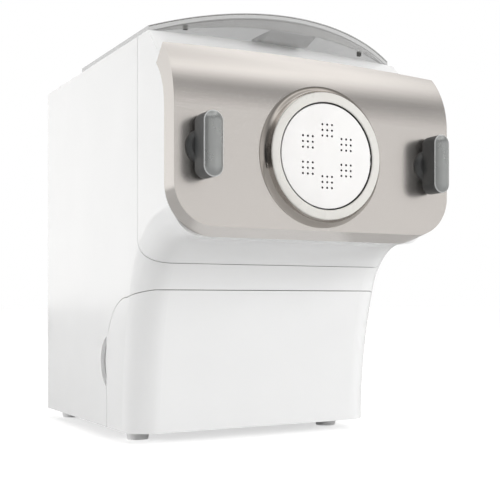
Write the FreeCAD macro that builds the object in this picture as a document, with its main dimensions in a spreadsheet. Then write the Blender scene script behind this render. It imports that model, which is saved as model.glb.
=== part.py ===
import FreeCAD, Part
import math
import os
import Sketcher

# Electric pasta maker, millimetres, +Z up.
# The origin is on the table under the middle of the machine, the front faces -Y.
# Lengths called "_depth" are measured forwards from the flat rear face.

SIZES = {
    # Outer body
    "rear_reach": 160, "body_width": 202, "body_top": 284, "wall": 3, "seam_gap": 0.5, "fit_gap": 0.3,
    "toe_depth": 210.6, "toe_radius": 321, "throat_radius": 49, "corner_radius": 21,
    "face_depth": 283, "brow_height": 225, "brow_radius": 40, "crown_rise": 4,
    "rear_edge_radius": 4, "fascia_depth": 221, "fascia_low": 127, "fascia_corner": 22,
    # Drawer
    "drawer_depth": 157, "drawer_knee": 60, "drawer_bend": 45, "drawer_rise": 110,
    "drawer_back_depth": 116, "drawer_wall": 2.2, "tray_top": 98,
    "notch_depth": 165.5, "notch_height": 57, "notch_radius": 20.5,
    # Base and feet
    "foot_height": 8, "plate_thick": 3, "plate_front_depth": 186, "foot_spread": 82,
    "rear_foot_depth": 12, "front_foot_depth": 172, "foot_top_radius": 9.25, "foot_low_radius": 7.75,
    "foot_peg_radius": 3, "peg_clearance": 0.05,
    # Extrusion axis, front panel, ring and disc
    "axis_height": 198.4, "panel_width": 214, "panel_thick": 16, "panel_skin": 1.6,
    "panel_low": 143.5, "panel_flare": 5.5, "panel_corner": 28, "panel_lip": 7, "crown_radius": 1150,
    "ring_base_radius": 45.2, "ring_front_radius": 42.4, "ring_inner_radius": 36, "ring_depth": 306.8,
    "disc_radius": 35.4, "disc_depth": 306, "disc_thick": 7, "disc_web": 3,
    "hole_width": 1.4, "hole_pitch": 3.75, "hole_ring_radius": 17.3, "disc_groups": 6,
    "tube_radius": 25, "tube_wall": 3.5, "tube_flange_radius": 34,
    # Mixing chamber and drive
    "bowl_radius": 62, "bowl_back_depth": 112, "bowl_front_depth": 218, "bowl_wall": 2.5, "bowl_rim": 5,
    "paddle_gap": 3, "shaft_radius": 8, "running_gap": 0.05, "auger_gap": 0.6, "auger_core": 9,
    "auger_pitch": 22, "flight_thick": 3,
    # Gear train and motor
    "coarse_module": 1.5, "fine_module": 1, "output_teeth": 60, "pinion_teeth": 12, "wheel_teeth": 48,
    "gear_face": 10, "fine_face": 7, "case_back_depth": 74, "case_front_depth": 104, "case_wall": 3,
    "idler_pin_radius": 4, "motor_radius": 38, "motor_back_depth": 18, "armature_radius": 24,
    "motor_shaft_radius": 3, "bulkhead_depth": 104.3,
    # Knobs
    "knob_spread": 88.3, "knob_tall": 40.8, "knob_wide": 13.2, "knob_back_depth": 302,
    "knob_front_depth": 320, "knob_bevel": 1.2, "knob_hub_radius": 11, "spindle_radius": 4.5, "socket_radius": 9.2,
    "cross_pin_length": 14, "cross_pin_radius": 1.6, "socket_flange": 14,
    # Lid
    "lid_width": 198, "lid_back_depth": 92, "lid_corner_depth": 236, "lid_nose_depth": 262,
    "lid_top": 302, "lid_edge": 288.5, "lid_rise": 7, "lid_wall": 2.5, "lid_step": 0.5, "lid_back_lean": 8,
    "hinge_depth": 94, "hinge_height": 290, "hinge_spread": 68, "hinge_pin_radius": 1.5,
    "knuckle_radius": 4, "knuckle_length": 12, "hinge_bracket": 4,
    "grip_width": 36, "grip_depth": 256,
    # Control panel on the top
    "panel_pad_width": 130, "panel_pad_back": 16, "panel_pad_front": 80, "pad_rise": 1, "pad_sink": 2,
    "window_width": 44, "window_length": 22, "button_radius": 7, "button_gap": 0.3, "button_travel": 1,
    "board_thick": 1.6, "button_pitch": 24,
    # Rear wall
    "vent_length": 60, "vent_width": 3, "vent_pitch": 8, "vent_count": 7, "vent_height": 92,
    "gland_side": 62, "gland_height": 36, "gland_radius": 9, "cord_bore": 3.8, "screw_radius": 2.2,
}

doc = FreeCAD.newDocument("pasta_maker")
sheet = doc.addObject("Spreadsheet::Sheet", "Sizes")
for row, (alias, number) in enumerate(SIZES.items(), 1):
    sheet.set("A%d" % row, alias)
    sheet.set("B%d" % row, str(number))
    sheet.setAlias("B%d" % row, alias)
doc.recompute()


class Length:
    """A size that carries its number and the spreadsheet expression that gives it."""

    def __init__(self, value, text):
        self.value = float(value)
        self.text = text

    def __add__(self, other):
        other = length(other)
        return Length(self.value + other.value, "(%s + %s)" % (self.text, other.text))

    def __sub__(self, other):
        other = length(other)
        return Length(self.value - other.value, "(%s - %s)" % (self.text, other.text))

    def __mul__(self, other):
        other = length(other)
        return Length(self.value * other.value, "(%s * %s)" % (self.text, other.text))

    def __truediv__(self, other):
        other = length(other)
        return Length(self.value / other.value, "(%s / %s)" % (self.text, other.text))

    def __neg__(self):
        return self * -1

    __radd__ = __add__
    __rmul__ = __mul__

    def __rsub__(self, other):
        return length(other) - self


def length(value):
    return value if isinstance(value, Length) else Length(value, "(%.9f)" % value)


def root(square):
    return Length(math.sqrt(square.value), "sqrt(%s)" % square.text)


class Named:
    """The spreadsheet's sizes as attributes."""


size = Named()
for alias in SIZES:
    setattr(size, alias, Length(sheet.get(alias), "Sizes.%s" % alias))

DIAGONAL = Length(math.sqrt(0.5), "sqrt(0.5)")


def at(depth):
    """The Y of a place that lies this far in front of the rear face."""
    return size.rear_reach - depth


def bind(thing, field, value):
    thing.setExpression(field, length(value).text)


def line(x, y):
    return (length(x), length(y), None, 0)


def arc(x, y, radius, turn):
    """An arc to this point, turning left (1) or right (-1), under a half circle."""
    return (length(x), length(y), length(radius), turn)


def sketch_on(body, role, across=0, up=0, out=0):
    sketch = body.newObject("Sketcher::SketchObject", "outline")
    for plane in body.Origin.OriginFeatures:
        if plane.Role == role:
            sketch.AttachmentSupport = [(plane, "")]
    sketch.MapMode = "FlatFace"
    bind(sketch, "AttachmentOffset.Base.x", across)
    bind(sketch, "AttachmentOffset.Base.y", up)
    bind(sketch, "AttachmentOffset.Base.z", out)
    return sketch


def pin(sketch, edge, point, x, y):
    for kind, value in (("DistanceX", x), ("DistanceY", y)):
        number = sketch.addConstraint(Sketcher.Constraint(kind, -1, 1, edge, point, value.value))
        bind(sketch, "Constraints[%d]" % number, value)


def draw(sketch, steps):
    """Draw one closed outline through the steps' points and pin every point."""
    first = sketch.GeometryCount
    ends = []
    for number, (x, y, radius, turn) in enumerate(steps):
        start = FreeCAD.Vector(steps[number - 1][0].value, steps[number - 1][1].value, 0)
        end = FreeCAD.Vector(x.value, y.value, 0)
        if radius is None:
            sketch.addGeometry(Part.LineSegment(start, end), False)
            ends.append((1, 2))
            continue
        chord = end - start
        rise = math.sqrt(max(radius.value ** 2 - chord.Length ** 2 / 4, 0))
        middle = (start + end) * 0.5
        left = FreeCAD.Vector(-chord.y, chord.x, 0).normalize()
        centre = middle + left * (rise * turn)
        begin, finish = (start, end) if turn > 0 else (end, start)
        angles = [math.atan2(p.y - centre.y, p.x - centre.x) for p in (begin, finish)]
        circle = Part.Circle(centre, FreeCAD.Vector(0, 0, 1), radius.value)
        sketch.addGeometry(Part.ArcOfCircle(circle, angles[0], angles[1]), False)
        ends.append((1, 2) if turn > 0 else (2, 1))
    for number, (x, y, radius, turn) in enumerate(steps):
        edge = first + number
        before = first + (number - 1) % len(steps)
        sketch.addConstraint(Sketcher.Constraint("Coincident", before, ends[number - 1][1], edge, ends[number][0]))
        pin(sketch, edge, ends[number][1], x, y)
        if radius is not None:
            number = sketch.addConstraint(Sketcher.Constraint("Radius", edge, radius.value))
            bind(sketch, "Constraints[%d]" % number, radius)
    return sketch


def draw_circle(sketch, x, y, radius):
    x, y, radius = length(x), length(y), length(radius)
    circle = Part.Circle(FreeCAD.Vector(x.value, y.value, 0), FreeCAD.Vector(0, 0, 1), radius.value)
    edge = sketch.addGeometry(circle, False)
    pin(sketch, edge, 3, x, y)
    number = sketch.addConstraint(Sketcher.Constraint("Radius", edge, radius.value))
    bind(sketch, "Constraints[%d]" % number, radius)


def new_body(label):
    body = doc.addObject("PartDesign::Body", label)
    body.Label = label
    return body


def pad(body, sketch, distance, midplane=False):
    feature = body.newObject("PartDesign::Pad", "pad")
    feature.Profile = sketch
    feature.Midplane = midplane
    bind(feature, "Length", distance)
    doc.recompute()
    return feature


def across(label, steps, width, centre=0):
    """A side outline in Y and Z, extruded equally to the left and right of X = centre."""
    body = new_body(label)
    pad(body, draw(sketch_on(body, "YZ_Plane", out=centre), steps), width, True)
    return body


def forwards(label, steps, back_depth, front_depth, holes=()):
    """A front outline in X and Z, extruded from one depth to another."""
    body = new_body(label)
    sketch = draw(sketch_on(body, "XZ_Plane", out=-at(back_depth)), steps)
    for x, z, radius in holes:
        draw_circle(sketch, x, z, radius)
    pad(body, sketch, length(front_depth) - back_depth)
    return body


def upwards(label, steps, low, high, holes=()):
    """A plan outline in X and Y, extruded from one height to another."""
    body = new_body(label)
    sketch = draw(sketch_on(body, "XY_Plane", out=low), steps)
    for x, y, radius in holes:
        draw_circle(sketch, x, y, radius)
    pad(body, sketch, length(high) - low)
    return body


def turned(label, steps, height=None, side=0):
    """An outline of Y and radius, turned round an axis along Y."""
    body = new_body(label)
    sketch = draw(sketch_on(body, "YZ_Plane", up=size.axis_height if height is None else height, out=side), steps)
    feature = body.newObject("PartDesign::Revolution", "turn")
    feature.Profile = sketch
    feature.ReferenceAxis = (sketch, ["H_Axis"])
    feature.Angle = 360
    doc.recompute()
    return body


def steps_of(outline_steps):
    """Straight steps (depth, radius) for a turned piece."""
    return [line(at(depth), radius) for depth, radius in outline_steps]


def block(label, x_range, depth_range, z_range):
    """A box between two sides, two depths and two heights."""
    box = doc.addObject("Part::Box", label)
    box.Label = label
    bind(box, "Length", length(x_range[1]) - x_range[0])
    bind(box, "Width", length(depth_range[1]) - depth_range[0])
    bind(box, "Height", length(z_range[1]) - z_range[0])
    bind(box, "Placement.Base.x", x_range[0])
    bind(box, "Placement.Base.y", at(depth_range[1]))
    bind(box, "Placement.Base.z", z_range[0])
    return box


DIRECTIONS = {
    "forward": FreeCAD.Rotation(FreeCAD.Vector(1, 0, 0), 90),
    "right": FreeCAD.Rotation(FreeCAD.Vector(0, 1, 0), 90),
    "up": FreeCAD.Rotation(),
}


def rod(label, radius, distance, x, depth, z, direction="forward"):
    """A round bar that starts at this place."""
    bar = doc.addObject("Part::Cylinder", label)
    bar.Label = label
    bar.Placement = FreeCAD.Placement(FreeCAD.Vector(), DIRECTIONS[direction])
    bind(bar, "Radius", radius)
    bind(bar, "Height", distance)
    bind(bar, "Placement.Base.x", x)
    bind(bar, "Placement.Base.y", at(depth))
    bind(bar, "Placement.Base.z", z)
    return bar


def fuse(label, pieces):
    joined = doc.addObject("Part::MultiFuse", label)
    joined.Label = label
    joined.Shapes = list(pieces)
    return joined


def cut(label, base, tools):
    tools = list(tools)
    tool = tools[0] if len(tools) == 1 else fuse(label + "_tools", tools)
    result = doc.addObject("Part::Cut", label)
    result.Label = label
    result.Base = base
    result.Tool = tool
    return result


def common(label, pieces):
    result = doc.addObject("Part::MultiCommon", label)
    result.Label = label
    result.Shapes = list(pieces)
    return result


def made(label, shape):
    """A piece whose form neither a sketch nor a primitive gives."""
    feature = doc.addObject("Part::Feature", label)
    feature.Label = label
    feature.Shape = shape
    return feature


nodes = []


def keep(piece, label):
    piece.Label = label
    nodes.append(piece)
    return piece


half_body = size.body_width / 2
base_low = size.foot_height
plate_top = base_low + size.plate_thick
inner_half = half_body - size.wall
toe_centre = size.toe_depth + size.toe_radius
# The drawer's front edge line meets the toe curve at this height.
seam_height = size.drawer_rise
seam_drop = seam_height - base_low
seam_reach = root(size.toe_radius * size.toe_radius - seam_drop * seam_drop)
throat_share = (size.toe_radius - size.throat_radius) / size.toe_radius
throat_depth = toe_centre - seam_reach * throat_share
throat_height = base_low + seam_drop * throat_share
throat_top = throat_height + size.throat_radius
brow_centre = size.face_depth - size.brow_radius
brow_sum = brow_centre + size.brow_height


def body_form(label, inset, top, low):
    """The whole body's outer form, drawn in by an inset."""
    reach = size.toe_radius + inset
    share = size.throat_radius + inset
    drop = base_low - low
    toe = toe_centre - root(reach * reach - drop * drop)
    radius = size.brow_radius - inset
    lift = radius * DIAGONAL
    slope_end = brow_sum + radius * 2 * DIAGONAL - top
    bend_depth = toe_centre - seam_reach * (reach / size.toe_radius)
    bend_height = base_low + seam_drop * (reach / size.toe_radius)
    steps = [
        line(at(inset), low),
        line(at(toe), low),
        arc(at(bend_depth), bend_height, reach, 1),
        arc(at(throat_depth), throat_height + share, share, 1),
        line(at(size.face_depth - inset), throat_height + share),
        line(at(size.face_depth - inset), size.brow_height),
        arc(at(brow_centre + lift), size.brow_height + lift, radius, -1),
        line(at(slope_end), top),
        line(at(inset), top),
    ]
    body = new_body(label)
    solid = pad(body, draw(sketch_on(body, "YZ_Plane"), steps), size.body_width - inset * 2, True)
    front = [name for name, edge in edge_names(solid) if front_corner(edge)]
    solid = round_edges(body, solid, front, size.corner_radius - inset)
    if inset.value < size.rear_edge_radius.value:
        rear = [name for name, edge in edge_names(solid) if rear_corner(edge)]
        round_edges(body, solid, rear, size.rear_edge_radius - inset)
    return body


def edge_names(feature):
    return [("Edge%d" % number, edge) for number, edge in enumerate(feature.Shape.Edges, 1)]


def is_side_edge(edge):
    """True for an edge that lies in one of the two flat sides."""
    box = edge.BoundBox
    return box.XLength < 0.01 and abs(box.XMin) > 10


def front_corner(edge):
    """The edges between a flat side and the drawer front or the throat above it."""
    middle = edge.CenterOfMass
    above_floor = edge.BoundBox.ZLength > 5
    in_front = middle.y < at(size.drawer_depth).value
    return is_side_edge(edge) and above_floor and in_front and edge.BoundBox.ZMax < throat_top.value + 10


def rear_corner(edge):
    box = edge.BoundBox
    return is_side_edge(edge) and box.YLength < 0.01 and box.YMin > at(50).value


def round_edges(body, base, names, radius):
    feature = body.newObject("PartDesign::Fillet", "rounding")
    feature.Base = (base, names)
    bind(feature, "Radius", radius)
    doc.recompute()
    return feature


# Outer shells: one hollow form, divided by the seams into housing, fascia and drawer.

def fascia_region(label, gap):
    low = size.fascia_low + gap
    back = size.fascia_depth + gap
    bend = size.fascia_corner - gap
    return across(label, [
        line(at(size.face_depth + 20), low), line(at(size.face_depth + 20), size.body_top + 20),
        line(at(back), size.body_top + 20), line(at(back), low + bend),
        arc(at(back + bend), low, bend, -1)], size.body_width + 20)


def drawer_region(label, gap):
    bend = size.drawer_bend - gap
    knee = size.drawer_knee
    back = size.drawer_depth + gap
    return across(label, [
        line(at(back), base_low - 5), line(at(size.face_depth), base_low - 5),
        line(at(size.face_depth), size.drawer_rise - gap),
        line(at(throat_depth - size.throat_radius), size.drawer_rise - gap),
        line(at(back + bend), knee + bend), arc(at(back), knee, bend, -1)], size.body_width + 20)


def shell(label, top):
    outer = body_form(label + "_outer", length(0), top, base_low)
    inner = body_form(label + "_inner", size.wall, size.body_top - size.wall, base_low - 2)
    return cut(label, outer, [inner])


notch = rod("finger_notch", size.notch_radius, size.body_width + 20, -(half_body + 10), size.notch_depth,
            size.notch_height, "right")
notch_core = block("notch_core", (-(inner_half), inner_half),
                   (size.notch_depth - size.notch_radius - 1, size.notch_depth + size.notch_radius + 1),
                   (size.notch_height - size.notch_radius - 1, size.notch_height + size.notch_radius + 1))
notches = cut("side_notches", notch, [notch_core])

bowl_outer = size.bowl_radius + size.bowl_wall
mouth = block("bowl_mouth", (-(bowl_outer + size.fit_gap), bowl_outer + size.fit_gap),
              (size.bowl_back_depth - size.fit_gap, size.bowl_front_depth + size.fit_gap),
              (size.body_top - size.wall - 2, size.body_top + 5))
pad_well = block("panel_pad_well", (-(size.panel_pad_width / 2 + size.fit_gap), size.panel_pad_width / 2 + size.fit_gap),
                 (size.panel_pad_back - size.fit_gap, size.panel_pad_front + size.fit_gap),
                 (size.body_top - size.wall - 2, size.body_top + 5))
vents = [block("vent_%d" % (number + 1), (-(size.vent_length / 2), size.vent_length / 2), (-2, size.wall + 2),
               (size.vent_height + size.vent_pitch * number, size.vent_height + size.vent_pitch * number + size.vent_width))
         for number in range(int(size.vent_count.value))]
gland_hole = rod("gland_hole", size.gland_radius + size.peg_clearance, size.wall + 4, size.gland_side, -2, size.gland_height)


doc.recompute()
hollow = shell("hollow_body", size.body_top)
keep(cut("main_housing", hollow, [fascia_region("fascia_cut", length(0)), drawer_region("drawer_cut", length(0)),
                                  notches, mouth, pad_well, gland_hole] + vents), "main_housing")

crown_top = size.body_top + size.crown_rise
crown_chord = half_body * half_body + size.crown_rise * size.crown_rise
crown_bend = crown_chord / (size.crown_rise * 2)
crown = forwards("crown_form", [
    line(-half_body, size.foot_height), line(half_body, size.foot_height), line(half_body, size.body_top),
    arc(-half_body, size.body_top, crown_bend, 1)], size.fascia_depth - 5, size.face_depth + 5)
tall_shell = shell("tall_body", crown_top)
tube_outer = size.tube_radius + size.tube_wall
fascia_holes = [rod("tube_hole", tube_outer + size.fit_gap, 40, 0, size.face_depth - 20, size.axis_height)]
for side, name in ((-1, "left"), (1, "right")):
    fascia_holes.append(rod("socket_hole_" + name, size.socket_radius + size.fit_gap, 40, size.knob_spread * side,
                            size.face_depth - 20, size.axis_height))
fascia_blank = common("fascia_blank", [tall_shell, fascia_region("fascia_space", size.seam_gap), crown])
keep(cut("front_fascia", fascia_blank, fascia_holes), "front_fascia")

drawer_blank = common("drawer_blank", [shell("drawer_body", size.body_top), drawer_region("drawer_space", size.seam_gap)])
keep(cut("drawer_front", drawer_blank, [notches]), "drawer_front")

# Drawer tray: an open box behind the drawer front, with rounded front corners.

def tray_form(label, inset, low, high):
    half = inner_half - size.fit_gap - inset
    back = size.drawer_back_depth + inset
    front = size.toe_depth - size.wall - size.fit_gap - inset
    bend = size.corner_radius - size.wall - inset
    return upwards(label, [
        line(half, at(back)), line(-half, at(back)), line(-half, at(front - bend)),
        arc(bend - half, at(front), bend, 1), line(half - bend, at(front)), arc(half, at(front - bend), bend, 1)],
        low, high)


tray_low = plate_top + size.fit_gap
tray_hollow = tray_form("tray_hollow", size.drawer_wall, tray_low + size.drawer_wall, size.tray_top + 5)
keep(cut("drawer_tray", tray_form("tray_outer", length(0), tray_low, size.tray_top), [tray_hollow]), "drawer_tray")

# Base plate and feet

plate_half = inner_half - size.fit_gap
foot_places = [(name, side, depth) for name, side, depth in (
    ("rear_left_foot", -1, size.rear_foot_depth), ("rear_right_foot", 1, size.rear_foot_depth),
    ("front_left_foot", -1, size.front_foot_depth), ("front_right_foot", 1, size.front_foot_depth))]
plate_holes = [(size.foot_spread * side, at(depth), size.foot_peg_radius + size.peg_clearance)
               for name, side, depth in foot_places]
plate_back = size.wall + size.fit_gap
keep(upwards("base_plate", [
    line(-plate_half, at(plate_back)), line(-plate_half, at(size.plate_front_depth)),
    line(plate_half, at(size.plate_front_depth)), line(plate_half, at(plate_back))],
    base_low, plate_top, plate_holes), "base_plate")

for name, side, depth in foot_places:
    cone = doc.addObject("Part::Cone", name + "_cone")
    bind(cone, "Radius1", size.foot_low_radius)
    bind(cone, "Radius2", size.foot_top_radius)
    bind(cone, "Height", size.foot_height)
    bind(cone, "Placement.Base.x", size.foot_spread * side)
    bind(cone, "Placement.Base.y", at(depth))
    peg = rod(name + "_peg", size.foot_peg_radius, size.plate_thick, size.foot_spread * side, depth, base_low, "up")
    keep(fuse(name, [cone, peg]), name)

# Chassis: bulkhead behind the mixing bowl, shelf over the drawer and two saddles under the bowl.

bulkhead_front = size.bulkhead_depth + size.wall
shelf_low = size.drawer_rise + 1
shelf_top = shelf_low + size.wall
bowl_low = size.axis_height - bowl_outer
bulkhead = forwards("bulkhead", [
    line(-plate_half, plate_top), line(plate_half, plate_top), line(plate_half, size.body_top - size.wall - 0.3),
    line(-plate_half, size.body_top - size.wall - 0.3)], size.bulkhead_depth, bulkhead_front,
    [(0, size.axis_height, size.shaft_radius + 8)])
front_saddle = size.bowl_front_depth - 26
shelf = block("shelf", (-plate_half, plate_half), (bulkhead_front, front_saddle + size.wall), (shelf_low, shelf_top))
saddle_cut = rod("saddle_cut", bowl_outer + size.fit_gap, 130, 0, size.bowl_back_depth - 5, size.axis_height)
saddles = [block("saddle_%d" % number, (-size.bowl_radius * 0.8, size.bowl_radius * 0.8), (depth, depth + size.wall),
                 (shelf_top, size.axis_height - bowl_outer * 0.6))
           for number, depth in ((1, size.bowl_back_depth + 15), (2, front_saddle))]
keep(cut("chassis", fuse("chassis_blank", [bulkhead, shelf] + saddles), [saddle_cut]), "chassis")

# Front panel: a rolled skin over a moulded carrier, both with a crowned upper edge.

def panel_form(label, inset, rear_gap, low_inset):
    half_width = size.panel_width / 2 - inset
    back = size.face_depth + rear_gap
    front = size.face_depth + size.panel_thick - inset
    outer_roll = size.brow_radius + size.panel_thick - inset
    inner_roll = size.brow_radius + rear_gap
    outer_lift = outer_roll * DIAGONAL
    inner_lift = inner_roll * DIAGONAL
    lip = (size.panel_lip + 12) * DIAGONAL
    side = across(label + "_side", [
        line(at(back), size.panel_low - 5), line(at(front), size.panel_low - 5), line(at(front), size.brow_height),
        arc(at(brow_centre + outer_lift), size.brow_height + outer_lift, outer_roll, -1),
        line(at(brow_centre + outer_lift - lip), size.brow_height + outer_lift + lip),
        line(at(brow_centre + inner_lift - lip), size.brow_height + inner_lift + lip),
        line(at(brow_centre + inner_lift), size.brow_height + inner_lift),
        arc(at(back), size.brow_height, inner_roll, 1)], half_width * 2)
    outline = new_body(label + "_front")
    sections = []
    for depth, low, corner in ((size.face_depth, size.panel_low, size.panel_corner + size.panel_flare),
                               (size.face_depth + size.panel_thick, size.panel_low + size.panel_flare,
                                size.panel_corner)):
        bottom = low + low_inset
        bend = corner - inset
        top = size.body_top + 30
        sections.append(draw(sketch_on(outline, "XZ_Plane", out=-at(depth)), [
            line(-half_width, top), line(-half_width, bottom + bend), arc(bend - half_width, bottom, bend, 1),
            line(half_width - bend, bottom), arc(half_width, bottom + bend, bend, 1), line(half_width, top)]))
    loft = outline.newObject("PartDesign::AdditiveLoft", "loft")
    loft.Profile = sections[0]
    loft.Sections = [sections[1]]
    loft.Ruled = True
    doc.recompute()
    back_fill = forwards(label + "_back", [
        line(-half_width, size.panel_low + 40), line(half_width, size.panel_low + 40),
        line(half_width, size.body_top + 30), line(-half_width, size.body_top + 30)],
        size.face_depth - 60, size.face_depth + 0.01)
    return common(label, [side, fuse(label + "_outline", [outline, back_fill]), crowned_end(label + "_crown", inset)])


def crowned_end(label, inset):
    """A wide drum square to the sloping brow: its rim gives the panel's crowned upper edge."""
    lift = (size.brow_radius + size.panel_thick) * DIAGONAL
    run = (size.crown_radius - size.panel_lip) * DIAGONAL
    tall = 300
    drum = doc.addObject("Part::Cylinder", label)
    drum.Label = label
    drum.Placement = FreeCAD.Placement(FreeCAD.Vector(), FreeCAD.Rotation(FreeCAD.Vector(1, 0, 0), 45))
    bind(drum, "Radius", size.crown_radius - inset)
    drum.Height = 2 * tall
    shift = tall * math.sqrt(0.5)
    bind(drum, "Placement.Base.y", at(brow_centre + lift + run) + shift)
    bind(drum, "Placement.Base.z", size.brow_height + lift - run - shift)
    return drum


knob_holes = []
for side, name in ((-1, "left"), (1, "right")):
    knob_holes.append(rod("panel_knob_hole_" + name, size.spindle_radius + 0.5, 60, size.knob_spread * side,
                          size.face_depth - 20, size.axis_height))
ring_seat = size.ring_inner_radius
ring_hole = rod("panel_ring_hole", ring_seat + size.fit_gap, 60, 0, size.face_depth - 20, size.axis_height)
panel_outer = panel_form("panel_outer", length(0), size.fit_gap, length(0))
panel_inner = panel_form("panel_inner", size.panel_skin, -1, size.panel_skin)
keep(cut("front_panel", panel_outer, [panel_inner, ring_hole] + knob_holes), "front_panel")

carrier_gap = size.panel_skin + size.fit_gap
carrier_blank = panel_form("carrier_blank", carrier_gap, size.fit_gap, carrier_gap)
carrier_front = size.face_depth + size.panel_thick - size.panel_skin - 2.8
pockets = []
for side in (-1, 1):
    for number, (near, far, low, high) in enumerate(((42, 72, 4, 24), (42, 72, -42, -4), (42, 98, 30, 58))):
        edges = sorted((near * side, far * side))
        pockets.append(block("carrier_pocket_%d_%d" % (side + 1, number), (edges[0], edges[1]),
                             (size.face_depth - 60, carrier_front - (6 if low == 30 else 0)),
                             (size.axis_height + low, size.axis_height + high)))
carrier_ring = rod("carrier_ring_hole", ring_seat + size.fit_gap, 80, 0, size.face_depth - 40, size.axis_height)
carrier_knobs = []
for side, name in ((-1, "left"), (1, "right")):
    carrier_knobs.append(rod("carrier_knob_hole_" + name, size.spindle_radius + 0.5, 80, size.knob_spread * side,
                             size.face_depth - 40, size.axis_height))
keep(cut("panel_carrier", carrier_blank, [carrier_ring] + pockets + carrier_knobs), "panel_carrier")

# Pressure ring, shaping disc and extrusion tube

panel_front = size.face_depth + size.panel_thick
tube_front = size.disc_depth - size.disc_thick - 0.2
keep(turned("pressure_ring", [
    line(at(size.face_depth + 6), ring_seat), line(at(size.face_depth + 6), tube_outer + size.fit_gap),
    line(at(tube_front), tube_outer + size.fit_gap), line(at(tube_front), size.disc_radius + 0.3),
    line(at(size.ring_depth - 0.6), size.disc_radius + 0.3), line(at(size.ring_depth), size.disc_radius + 0.9),
    line(at(size.ring_depth), size.ring_front_radius - 1.2),
    line(at(size.ring_depth - 1.2), size.ring_front_radius),
    line(at(panel_front + size.fit_gap), size.ring_base_radius), line(at(panel_front + size.fit_gap), ring_seat)]),
    "pressure_ring")

disc_back = size.disc_depth - size.disc_thick
disc_blank = turned("disc_blank", steps_of([
    (disc_back, 0), (size.disc_depth, 0), (size.disc_depth, size.disc_radius - 0.7),
    (size.disc_depth - 0.7, size.disc_radius), (disc_back, size.disc_radius)]))
disc_cup = rod("disc_cup", size.tube_radius - 1, size.disc_thick - size.disc_web, 0, disc_back, size.axis_height)


def disc_holes():
    """Square pins for the six upright groups of three by three holes."""
    width = size.hole_width.value
    back = disc_back.value - 1
    length_through = size.disc_thick.value + 3
    pins = []
    for group in range(int(size.disc_groups.value)):
        angle = math.radians(30 + 360 * group / size.disc_groups.value)
        for column in (-1, 0, 1):
            for level in (-1, 0, 1):
                x = size.hole_ring_radius.value * math.cos(angle) + size.hole_pitch.value * column
                z = size.hole_ring_radius.value * math.sin(angle) + size.hole_pitch.value * level
                corner = FreeCAD.Vector(x - width / 2, at(back).value - length_through,
                                        size.axis_height.value + z - width / 2)
                pins.append(Part.makeBox(width, length_through, width, corner))
    return Part.makeCompound(pins)


keep(cut("shaping_disc", disc_blank, [disc_cup, made("disc_hole_pins", disc_holes())]), "shaping_disc")

tube_back = size.bowl_front_depth + size.fit_gap
keep(turned("extrusion_tube", steps_of([
    (tube_back, size.tube_radius), (tube_back, size.tube_flange_radius), (tube_back + 4, size.tube_flange_radius),
    (tube_back + 4, tube_outer), (tube_front - size.fit_gap, tube_outer),
    (tube_front - size.fit_gap, size.tube_radius)])), "extrusion_tube")

# Mixing bowl: half-round trough with end walls and a rim that rests on the housing.

def bowl_form(label, grow, back, front, high):
    wide = size.bowl_radius + grow
    return forwards(label, [
        line(wide, high), line(-wide, high), line(-wide, size.axis_height),
        arc(0, size.axis_height - wide, wide, 1), arc(wide, size.axis_height, wide, 1)], back, front)


rim_top = size.body_top + 1.5
rim = block("bowl_rim_blank", (-(bowl_outer + size.bowl_rim), bowl_outer + size.bowl_rim),
            (size.bowl_back_depth - 3, size.bowl_front_depth), (size.body_top, rim_top))
bowl_blank = fuse("bowl_blank", [bowl_form("bowl_outer", size.bowl_wall, size.bowl_back_depth,
                                           size.bowl_front_depth, rim_top), rim])
bowl_hollow = bowl_form("bowl_hollow", length(0), size.bowl_back_depth + size.bowl_wall,
                        size.bowl_front_depth - size.bowl_wall, rim_top + 5)
seal_outer = size.shaft_radius + 5
bowl_front_hole = rod("bowl_front_hole", size.tube_radius, 10, 0, size.bowl_front_depth - 6, size.axis_height)
bowl_back_hole = rod("bowl_back_hole", seal_outer, 10, 0, size.bowl_back_depth - 5, size.axis_height)
keep(cut("mixing_bowl", bowl_blank, [bowl_hollow, bowl_front_hole, bowl_back_hole]), "mixing_bowl")

# Drive line: shaft, seal, bearings, paddle and auger on one axis.

shaft_back = size.case_back_depth + size.case_wall + 1
shaft_front = size.bowl_front_depth - 4
journal = size.shaft_radius + size.running_gap
shaft_run = rod("shaft_round", size.shaft_radius, size.bowl_back_depth + 8 - shaft_back, 0, shaft_back, size.axis_height)
hex_shape = [line(size.shaft_radius * math.cos(math.radians(60 * k)),
                  size.axis_height + size.shaft_radius * math.sin(math.radians(60 * k))) for k in range(6)]
shaft_hex = forwards("shaft_hex", hex_shape, size.bowl_back_depth + 8, shaft_front)
tail_radius = 3
shaft_tail = rod("shaft_tail", tail_radius, shaft_back - size.case_back_depth - size.fit_gap, 0,
                 size.case_back_depth + size.fit_gap, size.axis_height)
keep(fuse("drive_shaft", [shaft_run, shaft_hex, shaft_tail]), "drive_shaft")

seal_front = size.bowl_back_depth + size.bowl_wall
keep(turned("shaft_seal", steps_of([
    (bulkhead_front + size.fit_gap, journal), (bulkhead_front + size.fit_gap, seal_outer - 0.05),
    (seal_front, seal_outer - 0.05), (seal_front, seal_outer + 3), (seal_front + 2, seal_outer + 2),
    (seal_front + 2, journal)])), "shaft_seal")
bearing_outer = size.shaft_radius + 6
tail_bearing_outer = bearing_outer - 2
tail_journal = tail_radius + size.running_gap
case_back_plate = size.case_back_depth + size.case_wall
case_front_inner = size.case_front_depth - size.case_wall
keep(turned("front_bearing", steps_of([
    (case_front_inner - 3, journal), (case_front_inner - 3, bearing_outer), (size.case_front_depth, bearing_outer),
    (size.case_front_depth, journal)])), "front_bearing")
keep(turned("rear_bearing", steps_of([
    (size.case_back_depth, tail_journal), (size.case_back_depth, tail_bearing_outer),
    (case_back_plate, tail_bearing_outer), (case_back_plate, tail_journal)])), "rear_bearing")

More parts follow.
